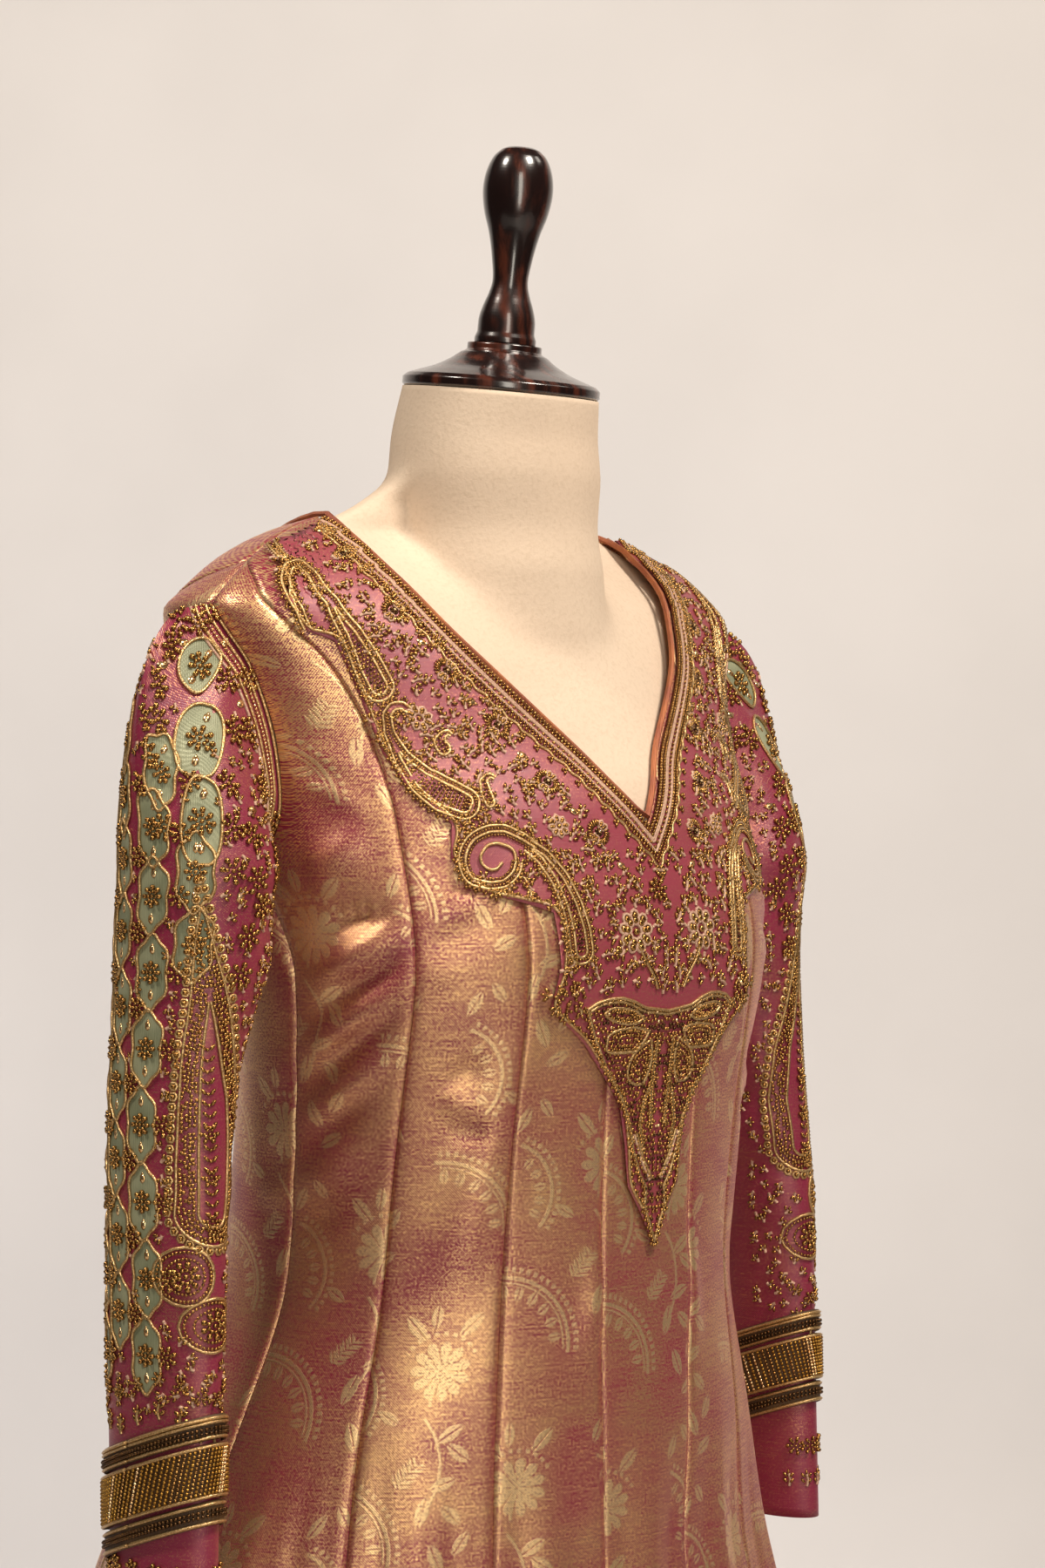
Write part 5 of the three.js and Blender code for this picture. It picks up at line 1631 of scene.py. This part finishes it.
# drop with two cords, a bead row between them, a bead filling and picots round it
def paisley(work, spine, halves):
    for inset, radius in ((0.0, 0.85), (3.3, 0.75)):
        work.cord("gold", dropOutline(work.skin, dropEdges(work.skin, spine, halves, inset)), radius, 1.6)
    beadRow(work, "antique", dropOutline(work.skin, dropEdges(work.skin, spine, halves, 1.7)), 0.8)
    rows = dropEdges(work.skin, spine, halves, 4.7, 2.0)
    if rows:
        places = dropFill(work.skin, rows, 2.0)
        darker = dice.random(len(places)) < 0.16
        for kind, pick in (("antique", ~darker), ("dark", darker)):
            if pick.any():
                work.bead(kind, places[pick], (0.98, 0.92, 0.9), dice.random(pick.sum()) * 3)
    picots(work, dropOutline(work.skin, dropEdges(work.skin, spine, halves, -0.4)), 4.8, 1.0)


def beadRow(work, kind, line, radius, pitch=None, closed=False):
    work.bead(kind, evenPlaces(work.skin, line, pitch or radius * 2.02, closed), (radius, radius, radius))


def seen(places):
    return np.array([onGown.find(x, y) for x, y in places])


# Yoke embroidery


def gownFace(z, share):
    return gownAt(z, share), gownNormal(z, share)


yokeSkin = Skin(gownFace, 3.0, 0.008, 2.1)
yokeWork = Stitching(yokeSkin)


# line beside the neckline, from the point of the V to the shoulder, on the wearer's right
def neckLine(distance):
    t = np.linspace(0.0, neckCovered, 120)
    xz = alongCurve(frontNeckline, t)
    line = np.array([(z, -atWidth(z, x)) for x, z in xz])
    place, normal = gownFace(line[:, 0], line[:, 1])
    side = unit(np.cross(normal, unit(np.gradient(place, axis=0))))
    side *= np.sign(side[:, :1] * -1)
    i, j = yokeSkin.stepped(line[:, 0], line[:, 1], side * distance)
    keep = j < -0.0004
    i, j = i[keep], j[keep]
    # carried on to the centre line, where the two sides meet
    t = (-0.0004 - j[0]) / (j[0] - j[1])
    return np.stack([np.append(i[0] + t * (i[0] - i[1]), i), np.append(-0.0004, j)], 1)


for distance in (0.9, 3.0):
    beadRow(yokeWork, "antique", neckLine(distance), 1.1)
for distance in (4.6, 5.6, 9.0):
    yokeWork.cord("thread", neckLine(distance), 0.36, 1.8)
ringed = evenPlaces(yokeSkin, neckLine(7.3), 3.5)
yokeWork.bead("antique", ringed, (1.05, 0.95, 0.9))
for distance in (10.3, 12.4):
    beadRow(yokeWork, "antique", neckLine(distance), 1.05)
edgeLine = evenPlaces(yokeSkin, neckLine(14.4), 2.2)
wiggle = 0.8 * np.sin(np.arange(len(edgeLine)) * 1.25)
yokeWork.cord("gold", offsetLine(yokeSkin, edgeLine, wiggle), 0.6, 1.5)
for centre in evenPlaces(yokeSkin, neckLine(17.4), 9.4):
    a = np.array([0.4, 2.4, 4.5])
    yokeWork.bead("antique", turnedPlaces(yokeSkin, centre, 1.2 * np.cos(a), 1.2 * np.sin(a)),
                  (1.15, 1.0, 1.0), a)

# fan flowers and flat gold leaves along the neckline
fanPlaces = [(395, 640), (450, 704), (511, 772), (569, 835), (626, 900), (684, 957)]
leafPlaces = [(365, 613), (421, 672), (482, 739), (539, 807), (597, 869), (656, 933), (710, 995)]
taken = []
for px, py in fanPlaces:
    fanFlower(yokeWork, onGown.find(px, py), 2.35, 0.98)
    taken.append((px, py, 24))
for px, py in leafPlaces:
    goldLeaf(yokeWork, onGown.find(px, py), -0.5)
    taken.append((px, py, 12))

# the large drops down the edge, each from its hooked tip to its round end
drops = [
    dict(spine=[(352, 722), (343, 702), (333, 686), (327, 668), (331, 654), (343, 650), (358, 664), (380, 694),
                (402, 729), (421, 765), (434, 790)],
         halves=[1.6, 1.8, 2.0, 2.2, 2.4, 2.8, 3.4, 4.6, 6.0, 7.4, 7.6]),
    dict(spine=[(468, 817), (460, 811), (450, 812), (443, 822), (446, 843), (461, 872), (484, 898), (508, 914),
                (531, 924)],
         halves=[1.6, 1.9, 2.2, 2.8, 4.2, 6.2, 8.2, 9.2, 8.4]),
    dict(spine=[(603, 972), (622, 986), (640, 1010), (654, 1040), (662, 1068), (665, 1092)],
         halves=[3.4, 4.4, 5.2, 5.8, 6.3, 6.6]),
]
for drop in drops:
    paisley(yokeWork, seen(drop["spine"]), drop["halves"])
    for px, py in drop["spine"]:
        taken.append((px, py, 17))
taken += [(425, 775, 24), (505, 905, 30), (660, 1075, 22)]

# scroll between the second and third drops
scroll = [(612, 975), (590, 962), (570, 955), (550, 961), (536, 977), (535, 998), (548, 1012), (567, 1015),
          (583, 1007), (590, 990), (583, 974), (566, 969), (553, 979), (553, 994), (565, 1001), (575, 992)]
scrollLine = alongCurve(seen(scroll), np.linspace(0, 1, 70))
yokeWork.cord("gold", scrollLine, 0.95, 1.5)
outerCoil = scrollLine[:44]
for inward, size in ((1.7, 0.85), (-1.8, 0.85)):
    beadRow(yokeWork, "antique", offsetLine(yokeSkin, outerCoil, inward), size)
yokeWork.cord("gold", offsetLine(yokeSkin, outerCoil, -3.4), 0.75, 1.5)
picots(yokeWork, offsetLine(yokeSkin, outerCoil, -3.6), 4.6, -1.0)
taken.append((563, 985, 40))
scrollSprigs = [(597, 1008, -0.9), (604, 1022, -1.2), (583, 1018, -1.9), (566, 1022, -1.5)]
for px, py, angle in scrollSprigs:
    sprig(yokeWork, onGown.find(px, py), angle, 1, 1.1, stem="gold")

# small pieces between the drops
daisy(yokeWork, onGown.find(480, 826), 1.12, 8, 0.2)
daisy(yokeWork, onGown.find(639, 950), 0.95, 8, 0.1)
taken += [(480, 826, 22), (639, 950, 18), (508, 854, 16), (562, 905, 18)]
smallDrops = [
    dict(spine=[(516, 846), (512, 842), (506, 846), (503, 854), (508, 862)], halves=[0.8, 1.2, 2.0, 3.2, 3.4]),
    dict(spine=[(566, 896), (560, 892), (553, 899), (556, 912), (561, 924)], halves=[0.8, 1.2, 2.0, 2.6, 2.4]),
    dict(spine=[(312, 628), (318, 636), (324, 644)], halves=[2.0, 2.2, 1.8]),
]
for drop in smallDrops:
    spine, halves = seen(drop["spine"]), drop["halves"]
    yokeWork.cord("gold", dropOutline(yokeSkin, dropEdges(yokeSkin, spine, halves)), 0.85, 1.6)
    inside = dropFill(yokeSkin, dropEdges(yokeSkin, spine, halves, 1.2, 2), 2.0)
    yokeWork.bead("antique", inside, (0.95, 0.9, 0.8))
    loops = evenPlaces(yokeSkin, dropOutline(yokeSkin, dropEdges(yokeSkin, spine, halves, -1.4)), 2.0)
    yokeWork.bead("thread", loops, (0.7, 0.55, 0.5))

# flowers under the point of the V and their gold stem
beadFlower(yokeWork, onGown.find(751, 1022), 1.0, 8, 0.1, twin=False)
bouquet = onGown.find(727, 1070)
daisy(yokeWork, bouquet, 1.75, 9, 0.15)
for k in range(10):
    a = 0.15 + k * math.tau / 10
    tip = turnedPlaces(yokeSkin, bouquet, [12.4 * math.cos(a)], [12.4 * math.sin(a)])[0]
    sprig(yokeWork, tip, a, 1, 1.25)
taken += [(751, 1020, 20), (727, 1070, 34)]
stemLine = seen([(729, 1084), (738, 1104), (748, 1122), (751, 1134)])
yokeWork.cord("gold", stemLine, 0.9, 1.7)
beadRow(yokeWork, "antique", offsetLine(yokeSkin, evenPlaces(yokeSkin, stemLine, 2), 1.9), 0.85)

# cluster that hangs below the third drop
clusterCentre = onGown.find(652, 1143)
a, r = dice.random(52) * math.tau, np.sqrt(dice.random(52)) * 8.5
yokeWork.bead("antique", turnedPlaces(yokeSkin, clusterCentre, r * np.cos(a), r * np.sin(a)),
              (1.15, 1.05, 1.1), a)
clusterPale = turnedPlaces(yokeSkin, clusterCentre, r[::9] * 0.8, r[::9] * 0.5)
yokeWork.bead("pale", clusterPale, (1.1, 1.0, 1.2), 0, 0.4)
clusterSprigs = [(640, 1154, -2.3), (648, 1162, -1.7), (632, 1142, 3.0), (662, 1156, -1.1)]
for px, py, angle in clusterSprigs:
    sprig(yokeWork, onGown.find(px, py), angle, 1, 1.15, stem="gold")
taken.append((652, 1143, 22))

# pendant: scalloped top, two eyes, drops round a spray, and a tip
pendantWork = Stitching(yokeSkin)
pendantTop = [(672, 1158), (684, 1150), (698, 1146), (712, 1145), (725, 1149), (737, 1156), (751, 1160)]
pendantSide = [(672, 1158), (680, 1190), (692, 1222), (708, 1255), (719, 1285), (723, 1318), (731, 1348),
               (738, 1362), (736, 1385), (742, 1404), (751, 1424)]
topLine, sideLine = seen(pendantTop), seen(pendantSide)
for line in (topLine, sideLine):
    line[-1, 1] = 0.0
for inset, radius in ((0.0, 1.0), (-1.9, 0.8)):
    pendantWork.cord("gold", offsetLine(yokeSkin, topLine, inset), radius, 1.7)
pendantWork.cord("gold", sideLine, 0.7, 1.7)
picots(pendantWork, sideLine, 4.6, -1.0)
pendantRings = [
    [(736, 1168), (722, 1158), (704, 1156), (692, 1161), (704, 1172), (722, 1175)],
    [(742, 1182), (722, 1178), (702, 1183), (694, 1196), (702, 1208), (718, 1208), (732, 1198)],
    [(744, 1192), (728, 1204), (718, 1222), (719, 1240), (730, 1246), (739, 1232), (744, 1212)],
]
for ring in pendantRings:
    line = seen(ring)
    smoothed = alongCurve(np.concatenate([line, line[:1]]), np.linspace(0, 1, 24))
    pendantWork.cord("gold", smoothed[:-1], 0.85, 1.7, True)
    inside = line.mean(0)
    for shrink in (0.74, 0.46):
        beadRow(pendantWork, "antique", inside + (smoothed[:-1] - inside) * shrink, 0.9, closed=True)
pendantSprays = [
    [(750, 1190), (746, 1215), (742, 1250), (741, 1290)],
    [(747, 1230), (734, 1262), (729, 1290), (733, 1320)],
]
for spray in pendantSprays:
    beadRow(pendantWork, "antique", seen(spray), 0.95)
    line = evenPlaces(yokeSkin, seen(spray), 2)
    beadRow(pendantWork, "antique", offsetLine(yokeSkin, line, 2.0), 0.95)
    pendantWork.cord("gold", offsetLine(yokeSkin, line, 1.0), 0.5, 1.8)
pendantStem = seen([(727, 1300), (734, 1328), (744, 1352)])
pendantWork.cord("gold", pendantStem, 1.0, 1.7)
pendantThread = offsetLine(yokeSkin, evenPlaces(yokeSkin, pendantStem, 2), -1.6)
pendantWork.cord("thread", pendantThread, 0.5, 1.7)


# even places inside an outline on the wearer's right, in arc length and height
def insidePlaces(outline, pitch):
    flat = np.stack([outline[:, 1] * np.interp(outline[:, 0], tableZ, halfLength), outline[:, 0]], 1)
    low, high = flat.min(0), flat.max(0)
    out = []
    for row, v in enumerate(np.arange(low[1], high[1], pitch * 0.87)):
        u = np.arange(low[0] + (row % 2) * pitch / 2, high[0], pitch)
        inside = np.zeros(len(u), bool)
        for a, b in zip(flat, np.roll(flat, -1, axis=0)):
            if (a[1] > v) != (b[1] > v):
                inside ^= u < a[0] + (v - a[1]) / (b[1] - a[1]) * (b[0] - a[0])
        out += [(v, x / np.interp(v, tableZ, halfLength)) for x in u[inside]]
    return np.array(out)


pendantFill = insidePlaces(np.concatenate([topLine, sideLine[::-1]]), 2.7)
pendantFill = pendantFill + dice.normal(0, 1, pendantFill.shape) * [0.35, 0.001]
pendantFill = pendantFill[pendantFill[:, 1] < -0.002]
bright = dice.random(len(pendantFill))
fillShares = [("antique", 0, 0.72), ("dark", 0.72, 0.95), ("pale", 0.95, 1)]
for kind, low, high in fillShares:
    pick = (bright >= low) & (bright < high)
    pendantWork.bead(kind, pendantFill[pick], (1.2, 1.0, 0.85), dice.random(pick.sum()) * 3)
taken += [(700, 1180, 40), (715, 1230, 40), (735, 1290, 40), (740, 1380, 40), (735, 1160, 30)]

# small sprigs fill the ground that the motifs leave
groundOutline = seen([(384, 625), (330, 628), (306, 642), (330, 690), (352, 716), (384, 729), (416, 800),
                      (436, 852), (470, 908), (517, 944), (540, 1015), (600, 1038), (632, 1046), (640, 1130),
                      (690, 1140), (751, 1150), (751, 1000), (700, 975), (620, 880), (520, 765), (430, 665)])
groundOutline[15:17, 1] = -0.004
candidates = insidePlaces(groundOutline, 2.6)
dice.shuffle(candidates)
candidatePixels = project(gownAt(candidates[:, 0], candidates[:, 1]))
chosen = []
for (i, j), (px, py) in zip(candidates, candidatePixels):
    clear = all((px - x) ** 2 + (py - y) ** 2 > (r * 0.84) ** 2 for x, y, r in taken)
    if clear and all((px - x) ** 2 + (py - y) ** 2 > 11.6 ** 2 for x, y in chosen):
        chosen.append((px, py))
        sprig(yokeWork, (i, j), dice.uniform(-0.3, 2.4), int(dice.integers(1, 3)), 1.02)

# the cut edge of the yoke: a cord just inside it with picots between the drops
edgeCurve = alongCurve([(x, z) for x, z in yokeEdge[1:]], np.linspace(0, 1, 160))
edgePlaces = np.array([(z, -atWidth(z, x)) for x, z in edgeCurve])
edgeInside = offsetLine(yokeSkin, edgePlaces, -2.2)
yokeWork.cord("gold", edgeInside, 0.4, 1.8)
picots(yokeWork, edgeInside, 5.4, -0.7)
yokeStitching = stitchPieces("yoke", yokeWork) + stitchPieces("pendant", pendantWork)
print("scene: yoke embroidery made")


# Sleeve embroidery


def sleeveFace(row, turn):
    row, turn = np.broadcast_arrays(np.asarray(row, float), np.asarray(turn, float))
    last = len(sleeveShape) - 1
    r = np.clip(row, 0, last - 1e-3)
    c = (turn % 1) * sleeveRound
    i, j = r.astype(int), np.floor(c).astype(int) % sleeveRound
    n = (j + 1) % sleeveRound
    a, b = (r - i)[..., None], (c - np.floor(c))[..., None]

    def pick(grid):
        lower, upper = ((1 - b) * grid[k, j] + b * grid[k, n] for k in (i, i + 1))
        return (1 - a) * lower + a * upper
    return pick(sleeveShape), unit(pick(sleeveOuterNormals))


sleeveSkin = Skin(sleeveFace, 0.5, 0.008, 0.0)
sleeveWork = Stitching(sleeveSkin)
rowHeights = sleeveShape[:, 0, 2]


def rowAt(z):
    return float(np.interp(z, rowHeights, np.arange(len(rowHeights))))


def seenSleeve():
    rows = np.arange(0, len(sleeveShape) - 1, 0.5)
    turns = np.linspace(-0.2, 0.45, 150)
    r, t = np.meshgrid(rows, turns, indexing="ij")
    points, normals = sleeveFace(r, t)
    return SeenSurface(rows, turns, points, facesCamera(points, normals))


onSleeve = seenSleeve()
patches, worked = [], []
seamRow = len(sleeveShape) - 1


# notes a worked spot, so that the fill keeps clear of it
def note(place, radius):
    worked.append((*sleeveFace(place[0], place[1])[0], radius))


def flowerAt(place, size):
    beadFlower(sleeveWork, np.array(place), size, 7, 0.4)
    note(place, 6.6 * size)


# lobed patch of sea-green silk, corded round, with a bead flower and gold leaves
def greenPatch(centre, tall=19.0, wide=11.0, oval=False):
    a = np.linspace(0, math.tau, 33)[:-1]
    ripple = 0 if oval else 0.12 * np.cos(6 * a)
    flat = np.abs(np.sin(a)) ** (0.6 if oval else 1.0) * np.sign(np.sin(a))
    u, v = wide * (1 + ripple) * flat, tall * (1 + ripple * 0.5) * np.cos(a)
    outline = turnedPlaces(sleeveSkin, centre, u, v)
    sleeveWork.cord("gold", outline, 0.85, 1.9, True, lift=0.3)
    patches.append([centre + (outline - centre) * k for k in (0.0, 0.35, 0.7, 0.97)])
    beadFlower(sleeveWork, centre, 1.12 if oval else 0.9, 8)
    note(centre, wide * 1.05)
    for side in (1, -1):
        spot = turnedPlaces(sleeveSkin, centre, [0], [side * tall * 0.62])[0]
        note(spot, wide * 0.9)
        goldLeaf(sleeveWork, spot, math.pi / 2, 3.4 if oval else 2.9, 2.3 if oval else 1.9)


ovalPatches = [(229, 765, 15.5), (230, 848, 20.5), (232, 943, 22.5)]
for px, py, tall in ovalPatches:
    greenPatch(np.array(onSleeve.find(px, py)), tall, 10.5, True)

# staggered chains of lobed patches; a chain starts and ends at a height
patchColumns = table(
    "turn first last",
    (-0.330, 1255, 1000),
    (-0.238, 1297, 1000),
    (-0.146, 1318, 1000),
    (-0.054, 1340, 1000),
    (0.038, 1320, 1000),
    (0.128, 1258, 1190))
patchPitch = 38.0
for patchColumn in patchColumns:
    z = patchColumn["first"]
    while z > patchColumn["last"]:
        turn = patchColumn["turn"] + 0.006 * math.sin(z / 23)
        greenPatch(np.array([rowAt(z), turn]), 18.6, 9.8)
        if turn < 0.1:
            flowerAt((rowAt(z), turn + 0.058), 0.92)
        z -= patchPitch
looseFlowers = [
    (226, 716), (196, 742), (182, 786), (172, 866), (190, 950), (284, 838), (300, 905), (330, 985),
    (268, 1000), (262, 780), (285, 1075), (262, 900), (290, 960), (300, 1040), (275, 1120), (284, 780),
    (312, 945), (268, 840), (268, 950), (318, 1010), (296, 1010), (205, 712), (240, 700), (182, 826)]
for px, py in looseFlowers:
    flowerAt(onSleeve.find(px, py), 1.1)
looseLeaves = [(210, 738, 1.2), (186, 764, 1.2), (276, 808, 1.4), (300, 872, 1.2), (258, 738, 1.8),
               (290, 930, 0.6), (322, 960, 0.8), (300, 1060, 1.4), (276, 1030, 1.5)]
for px, py, angle in looseLeaves:
    goldLeaf(sleeveWork, np.array(onSleeve.find(px, py)), angle, 3.8, 2.6)

# long drop on the inner front: ringed beads, cord, a band of beads and a sprigged middle
longSpots = [(229, 1006), (233, 1060), (238, 1120), (242, 1190), (246, 1262), (248, 1330), (246, 1392)]
longSpine = [onSleeve.find(px, py) for px, py in longSpots]
longHalves = [1.0, 7.0, 12.0, 16.5, 20.0, 21.5, 20.5]
for inset, radius in ((3.6, 0.85), (12.6, 0.95)):
    rows = dropEdges(sleeveSkin, longSpine, longHalves, inset)
    sleeveWork.cord("gold", dropOutline(sleeveSkin, rows), radius, 1.8)
ringLine = dropOutline(sleeveSkin, dropEdges(sleeveSkin, longSpine, longHalves, 0.8))
for centre in evenPlaces(sleeveSkin, ringLine, 5.2):
    sleeveWork.bead("antique", [centre], (1.4, 1.4, 1.2))
    a = np.arange(7) * math.tau / 7
    ring = turnedPlaces(sleeveSkin, centre, 2.1 * np.cos(a), 2.1 * np.sin(a))
    sleeveWork.cord("gold", ring, 0.28, 2.2, True, rope=0)
for spot, half in zip(longSpine, longHalves):
    note(spot, half + 3)
for inset in (5.3, 7.1, 8.9, 10.7):
    line = dropOutline(sleeveSkin, dropEdges(sleeveSkin, longSpine, longHalves, inset))
    places = evenPlaces(sleeveSkin, line, 2.1)
    jitter = dice.normal(0, 0.4, len(places))
    pick = dice.random(len(places)) < 0.85
    sleeveWork.bead("antique", offsetLine(sleeveSkin, places, jitter)[pick], (1.3, 1.1, 1.05),
                    dice.random(pick.sum()) * 3)
innerSpots = [(238, 1205), (241, 1290), (244, 1410)]
innerLine = np.array([onSleeve.find(px, py) for px, py in innerSpots])
spots = evenPlaces(sleeveSkin, innerLine, 5.4)
for side in (1, -1):
    leaves = np.array([turnedPlaces(sleeveSkin, spot, [side * 2.3], [1.2])[0] for spot in spots])
    sleeveWork.bead("antique", leaves, (2.3, 1.05, 1.0), math.pi / 2 - side * 0.75)
sleeveWork.bead("antique", spots, (1.1, 1.1, 1.0))
innerFlowers = [(240, 1302), (242, 1352), (243, 1402)]
for px, py in innerFlowers:
    beadFlower(sleeveWork, np.array(onSleeve.find(px, py)), 0.8, 6)

# rosettes and leaves below the drop, then upright sprigs above the cuff
rosettes = [(214, 1466, 1.35), (246, 1522, 1.25)]
for px, py, size in rosettes:
    centre = np.array(onSleeve.find(px, py))
    beadFlower(sleeveWork, centre, size * 0.9, 9)
    note(centre, 13 * size)
    a = np.linspace(0, math.tau, 17)[:-1]
    for reach in (6.6, 9.2):
        ring = turnedPlaces(sleeveSkin, centre, reach * size * 1.15 * np.cos(a), reach * size * np.sin(a))
        beadRow(sleeveWork, "antique", ring, 1.0, closed=True)
    ring = turnedPlaces(sleeveSkin, centre, 10.8 * size * 1.12 * np.cos(a), 10.8 * size * np.sin(a))
    sleeveWork.cord("gold", ring, 0.7, 1.8, True)
for turn in np.arange(-0.36, 0.36, 0.062):
    sway = math.sin(turn * 20)
    sprig(sleeveWork, (rowAt(979 + 6 * sway), turn), math.pi / 2, 2, 1.15, stem="gold")
    beadFlower(sleeveWork, np.array([rowAt(1000 + 5 * sway), turn]), 0.62, 6)
for turn in np.arange(-0.36, 0.36, 0.07):
    beadFlower(sleeveWork, np.array([rowAt(908), turn]), 0.85, 7)
    sprig(sleeveWork, (rowAt(884), turn + 0.03), math.pi / 2, 2, 1.05, stem="thread")

# small sprigs fill what is left of the ground
spread = [(rowAt(z), t) for z in np.arange(992, 1384, 6.0) for t in np.arange(-0.42, 0.44, 0.022)]
dice.shuffle(spread)
filled = np.array(worked)
for row, turn in spread:
    x, y, z = sleeveFace(row, turn)[0]
    gap = np.sqrt((filled[:, 0] - x) ** 2 + (filled[:, 1] - y) ** 2 + (filled[:, 2] - z) ** 2)
    if row < seamRow - 5 and (gap > filled[:, 3] * 0.95 + 2.2).all():
        sprig(sleeveWork, (row, turn), dice.uniform(0, math.tau), 1, 0.95)
        filled = np.concatenate([filled, [[x, y, z, 3.6]]])

# corded edge along the armhole seam
for inside, radius, kind in ((0.2, 1.3, "gold"), (2.4, 0.8, "gold"), (6.2, 0.9, "gold"), (8.0, 0.4, "thread")):
    rows, turns = sleeveSkin.moved(np.full(90, float(seamRow)), np.linspace(0.0, 0.5, 90), 0.0, -inside)
    sleeveWork.cord(kind, np.stack([rows, turns], 1), radius, 1.7)
rows, turns = sleeveSkin.moved(np.full(90, float(seamRow)), np.linspace(0.0, 0.5, 90), 0.0, -4.3)
beadRow(sleeveWork, "pale", np.stack([rows, turns], 1), 1.0)


# green patches as one mesh for each sleeve
def patchPiece(side):
    points, faces, start = [], [], 0
    for rings in patches:
        for k, ring in enumerate(rings):
            ring = np.atleast_2d(ring)
            place, normal = sleeveFace(ring[:, 0], ring[:, 1])
            points.append(place + normal * (0.25 if k < 3 else 0.05))
        count = len(rings[0])
        for k in range(3):
            for m in range(count):
                n = (m + 1) % count
                faces.append([start + k * count + m, start + k * count + n, start + (k + 1) * count + n,
                              start + (k + 1) * count + m][::-1])
        start += 4 * count
    points = np.concatenate(points)
    if side == "left":
        points, faces = points * flipX, [face[::-1] for face in faces]
    return settle(meshObject(f"sleeve_{side}_patches", points, faces, greenSilk))


# cuff bands: upright rows of gold beads between cords and dark beads
class CuffSkin(Skin):
    def __init__(self, lift):
        super().__init__(self.find, 1.0, 0.01, 0.0)
        self.height = lift

    def find(self, level, turn):
        grid = bandRing(np.asarray(level, float), np.asarray(turn, float), self.height)
        ahead = bandRing(level, turn + 0.004, self.height) - bandRing(level, turn - 0.004, self.height)
        above = bandRing(level + 1.0, turn, self.height) - bandRing(level - 1.0, turn, self.height)
        return grid, unit(np.cross(ahead, above))


wideWork = Stitching(CuffSkin(3.2))
narrowWork = wideWork.on(CuffSkin(2.5))
strandKinds = ("brass", "pale", "antique")
for turn in np.linspace(0, 1, 74, endpoint=False):
    line = [(level, turn + 0.0012 * (level - 947)) for level in np.linspace(936.5, 957.5, 5)]
    kind = strandKinds[int(dice.integers(0, 3))] if dice.random() < 0.5 else strandKinds[0]
    beadRow(wideWork, kind, line, 1.05, 2.0)
full = np.linspace(0, 1, 120, endpoint=False)
for work, level, radius in ((wideWork, 934.8, 0.9), (wideWork, 959.2, 0.9), (narrowWork, 963.4, 0.8),
                            (narrowWork, 972.6, 0.9), (narrowWork, 970.6, 0.8), (narrowWork, 921.4, 0.9),
                            (narrowWork, 930.6, 0.8)):
    work.cord("gold", [(level, t) for t in full], radius, 1.8, True)
for level in (966.6, 926.2):
    for shift in (-1.1, 1.1):
        beadRow(narrowWork, "dark", [(level + shift, t) for t in full], 1.15, closed=True)
sleeveStitching, cuffStitching = {}, {}
# the hidden side's beads have fewer faces
sleeveSegments = {"right": 6, "left": 5}
for side in ("right", "left"):
    sleeveStitching[side] = stitchPieces(f"sleeve_{side}", sleeveWork, sleeveSegments[side], side)
    cuffStitching[side] = stitchPieces(f"cuff_{side}", wideWork, 6, side)
    sleeveStitching[side].append(patchPiece(side))
print("scene: sleeve embroidery made")

# Cloth lengths, worked out for each piece


for piece, points in clothPieces:
    ring = "sleeve" in piece.name
    tall = np.linalg.norm(np.diff(points, axis=0), axis=-1).sum(axis=0).max() * mm

# the yoke and the cuff grounds lie on the panels and sleeves; here only each cuff ground's length is worked
# out
for piece, grid, side, name in bandPieces:
    tall = float(np.linalg.norm(np.diff(grid, axis=0), axis=-1).sum(0).max())
print("triangles added:", sum(triangleCount.values()), triangleCount)
